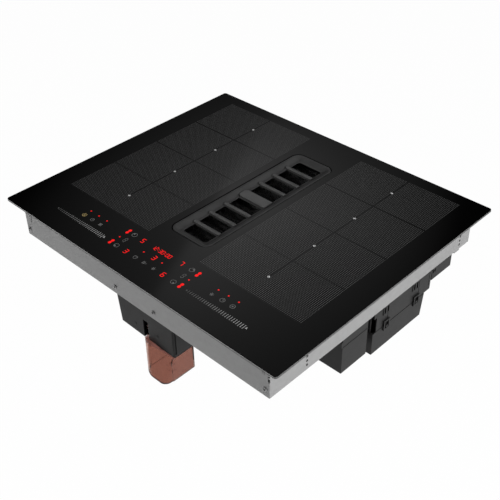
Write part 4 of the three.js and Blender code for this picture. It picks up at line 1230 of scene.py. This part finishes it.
# %% Lower half
LOWER_REAR, LOWER_FOOT, LOWER_TOP = 167.4, 161.5, -141.65
down_low, down_high = in_mm(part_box("fan_casing_lower"))
lower = block("casing_lower_shell", down_low, (CASING_RIGHT, LOWER_REAR, LOWER_TOP))
reshape(lower, lambda place: near(place.y, LOWER_REAR) and near(place.z, down_low.z),
        (0, LOWER_FOOT - LOWER_REAR, 0))
remove_faces(lower, facing(UP))
thicken(lower, MOULD_WALL, MOULD_ROUND)
cut(lower, fan_inlet())
parts = [on_side("seam_lip", (-1.2, 0.35), (down_low.y + 2, LOWER_REAR - 2), (LOWER_TOP - 2, LOWER_TOP))]
parts += [on_side("lug", (-1, down_high.x - 0.4 - CASING_RIGHT), (y - 1.5, y + 3.5), (-146.2, -141.8))
          for y in LOOPS_Y]
settle(join("casing_lower_shell", lower, *parts), "black_plastic", "fan_casing_lower")

# %% [markdown]
# ## Outlet duct and electronics box
# The outlet is a flat square tube behind the casing, open at both ends so that air passes. The
# electronics box is a deep tub with a cover whose lip stands out at the front. Both are the same
# kind of moulding, so one function makes them: a block, its open ends removed, its wall grown
# inwards, its sharp edges rounded.

# %% Moulded boxes
def moulded_box(name, low, high, *open_ends):
    piece = block(name, low, high)
    remove_faces(piece, facing(*open_ends))
    thicken(piece, MOULD_WALL, MOULD_ROUND)
    smooth(piece, 35)
    return piece


duct = moulded_box("duct_shell", *in_mm(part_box("outlet_duct")), FRONT, REAR)
for along in ((186.5, 190), (191.5, 194.5)):
    cut(duct, on_side("duct_catch", THROUGH, along, (-112, -104.5)))
settle(duct, "black_plastic", "outlet_duct")

# %% Electronics tub and cover
settle(moulded_box("electronics_tub_shell", *in_mm(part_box("electronics_tub")), UP), "black_plastic",
       "electronics_tub", angle=0)

cover_low, cover_high = in_mm(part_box("electronics_cover"))
cover = moulded_box("electronics_cover_shell", cover_low + (0, 3, 0), cover_high - (0.5, 0, 0), DOWN)
lips = [block("front_lip", cover_low, (cover_high.x, cover_low.y + 3.6, cover_low.z + 13)),
        block("side_lip", (cover_high.x - 1.2, cover_low.y, cover_low.z),
              (cover_high.x, cover_high.y, cover_low.z + 1.6))]
settle(join("electronics_cover_shell", cover, *lips), "black_plastic", "electronics_cover")

# %% [markdown]
# ## Cable gland
# The mains lead enters the rear wall through a gland: a hexagon that is held by a spanner, a
# dome nut that squeezes the seal, and a bore. The hexagon and the nut are cylinders with few and
# many sides. The bore is cut out of each piece before they are joined, so it stays open.

# %% Turn the gland
COLLAR_LENGTH = 8


def on_gland(name, radius, start, end, sides):
    return rod(name, "Y", radius, (gland_x, start, gland_z), (gland_x, end, gland_z), sides)


collar_end = wall_y + COLLAR_LENGTH
thread = on_gland("thread", 9, gland_low.y, collar_end, 32)
collar = on_gland("collar", 11.6, wall_y + 0.3, collar_end, 6)
nut = on_gland("nut", 9, collar_end, gland_high.y, 24)
round_edges(nut, 2.2, 3, lambda middle, along: near(middle.y, gland_high.y))
for piece in (thread, collar, nut):
    cut(piece, on_gland("bore", 4.5, gland_low.y - 3, gland_high.y + 3, 24))
settle(join("gland_body", thread, collar, nut), "black_plastic", "cable_gland")

# %% [markdown]
# ## Light, floor and reflections
# The photo is a studio picture on white: strong soft light from the right, a weaker fill from the
# front, a little from above and a white ground. The camera sees the floor nearly white, so its
# shade stays faint. Mirrors see a quarter of that, or the black plastics would look grey.

# %% Lamps and world
LAMP_DISTANCE = 3.0


def soft_lamp(name, direction, size, power):
    bpy.ops.object.select_all(action="DESELECT")
    place = Vector(direction).normalized() * LAMP_DISTANCE
    bpy.ops.object.light_add(type="AREA", location=place)
    lamp = bpy.context.object
    lamp.name = name
    lamp.rotation_euler = place.to_track_quat("Z", "Y").to_euler()
    lamp.data.shape = "DISK"
    lamp.data.size = size
    lamp.data.energy = power
    lamp.visible_glossy = False
    print(name, power, "W")


soft_lamp("key_lamp", (0.9, 0.15, 0.35), 1.6, 104)
soft_lamp("fill_lamp", (-0.6, -0.7, 0.3), 1.6, 46)
soft_lamp("top_lamp", (0.0, 0.3, 1.0), 1.2, 9)

world = bpy.data.worlds.new("studio")
bpy.context.scene.world = world
world.use_nodes = True
sky = Board(world.node_tree)
seen = sky.output("ShaderNodeLightPath", "Is Camera Ray")
through = sky.output("ShaderNodeLightPath", "Is Transmission Ray")
ambient, backdrop = 0.1, 1.0
sky.feed(world.node_tree.nodes["Background"].inputs["Color"], (1, 1, 1, 1))
sky.feed(world.node_tree.nodes["Background"].inputs["Strength"],
         ambient + (seen + through) * (backdrop - ambient))

# %% Pale floor
FLOOR_DROP = 0.8
MIRRORED_FLOOR = 0.25
floor = add("studio_floor", bpy.ops.mesh.primitive_plane_add, size=30,
            location=(0, 0, cad_box[0].z - FLOOR_DROP))
paper = Finish("white_paper")
seen = paper.output("ShaderNodeLightPath", "Is Camera Ray")
mirrored = paper.output("ShaderNodeLightPath", "Is Glossy Ray")
through = paper.output("ShaderNodeLightPath", "Is Transmission Ray")
matte = paper.node("ShaderNodeBsdfDiffuse", {}, {"Color": srgb(235)})
share = (seen + through + mirrored * MIRRORED_FLOOR).ramp(0.0, 1.0) * 0.98
mixed = paper.node("ShaderNodeMixShader", {}, (share, matte, paper.emission((1, 1, 1, 1), 1.0)))
paper.feed(paper.tree.nodes["Material Output"].inputs["Surface"], mixed)
coat(floor, paper.material)
print("floor", FLOOR_DROP, "m below the object")

# %% [markdown]
# The black glass is a mirror for what is above and behind it. In the photo it shows a soft grey
# card that ends in a straight slanting edge: the left of the top is darker than the right. A
# ceiling card does the same here. It lights nothing, and only mirrors see it. The card is level,
# so a place on it is a place on the glass scaled from the camera's mirror image, and its painted
# gradient can be written in the glass's own millimetres.

# %% Ceiling card
CARD_HEIGHT = 1.6
glass_level = glass_high.z * MM
mirror_eye = VIEW_TARGET + back * VIEW_DISTANCE
mirror_eye.z = 2 * glass_level - mirror_eye.z
spread = (CARD_HEIGHT - mirror_eye.z) / (glass_level - mirror_eye.z)
card = add("ceiling_card", bpy.ops.mesh.primitive_plane_add, size=14,
           location=(0, 0, CARD_HEIGHT))
sheen = Finish("card_light")
x, y, _ = sheen.axes()
glass_x = (x - mirror_eye.x) / spread + mirror_eye.x
glass_y = (y - mirror_eye.y) / spread + mirror_eye.y
edge_start, edge_end = mm(56, -231, 0), mm(-147, 197, 0)
edge_normal = Vector((edge_end.y - edge_start.y, edge_start.x - edge_end.x, 0)).normalized()
past_x, past_y = glass_x - edge_start.x, glass_y - edge_start.y
beyond = (past_x * edge_normal.x + past_y * edge_normal.y) / MM
along = (past_x * -edge_normal.y + past_y * edge_normal.x) / MM
lit = beyond.ramp(-2.0, 2.0)
bright = 0.49 * (1 - beyond.ramp(60.0, 385.0)) * (1 - along.ramp(240.0, 640.0))
dim = 0.235 * beyond.ramp(-310.0, 0.0) * (1 - along.ramp(240.0, 800.0))
strength = (lit * bright + (1 - lit) * dim) * along.ramp(-400.0, 200.0)
sheen.feed(sheen.tree.nodes["Material Output"].inputs["Surface"],
           sheen.emission((1, 1, 1, 1), strength))
coat(card, sheen.material)
for ray in ("camera", "diffuse", "transmission", "shadow"):
    setattr(card, "visible_" + ray, False)
print("card scale", round(spread, 2))

# %% Plain colours
bpy.context.scene.view_settings.view_transform = "Standard"
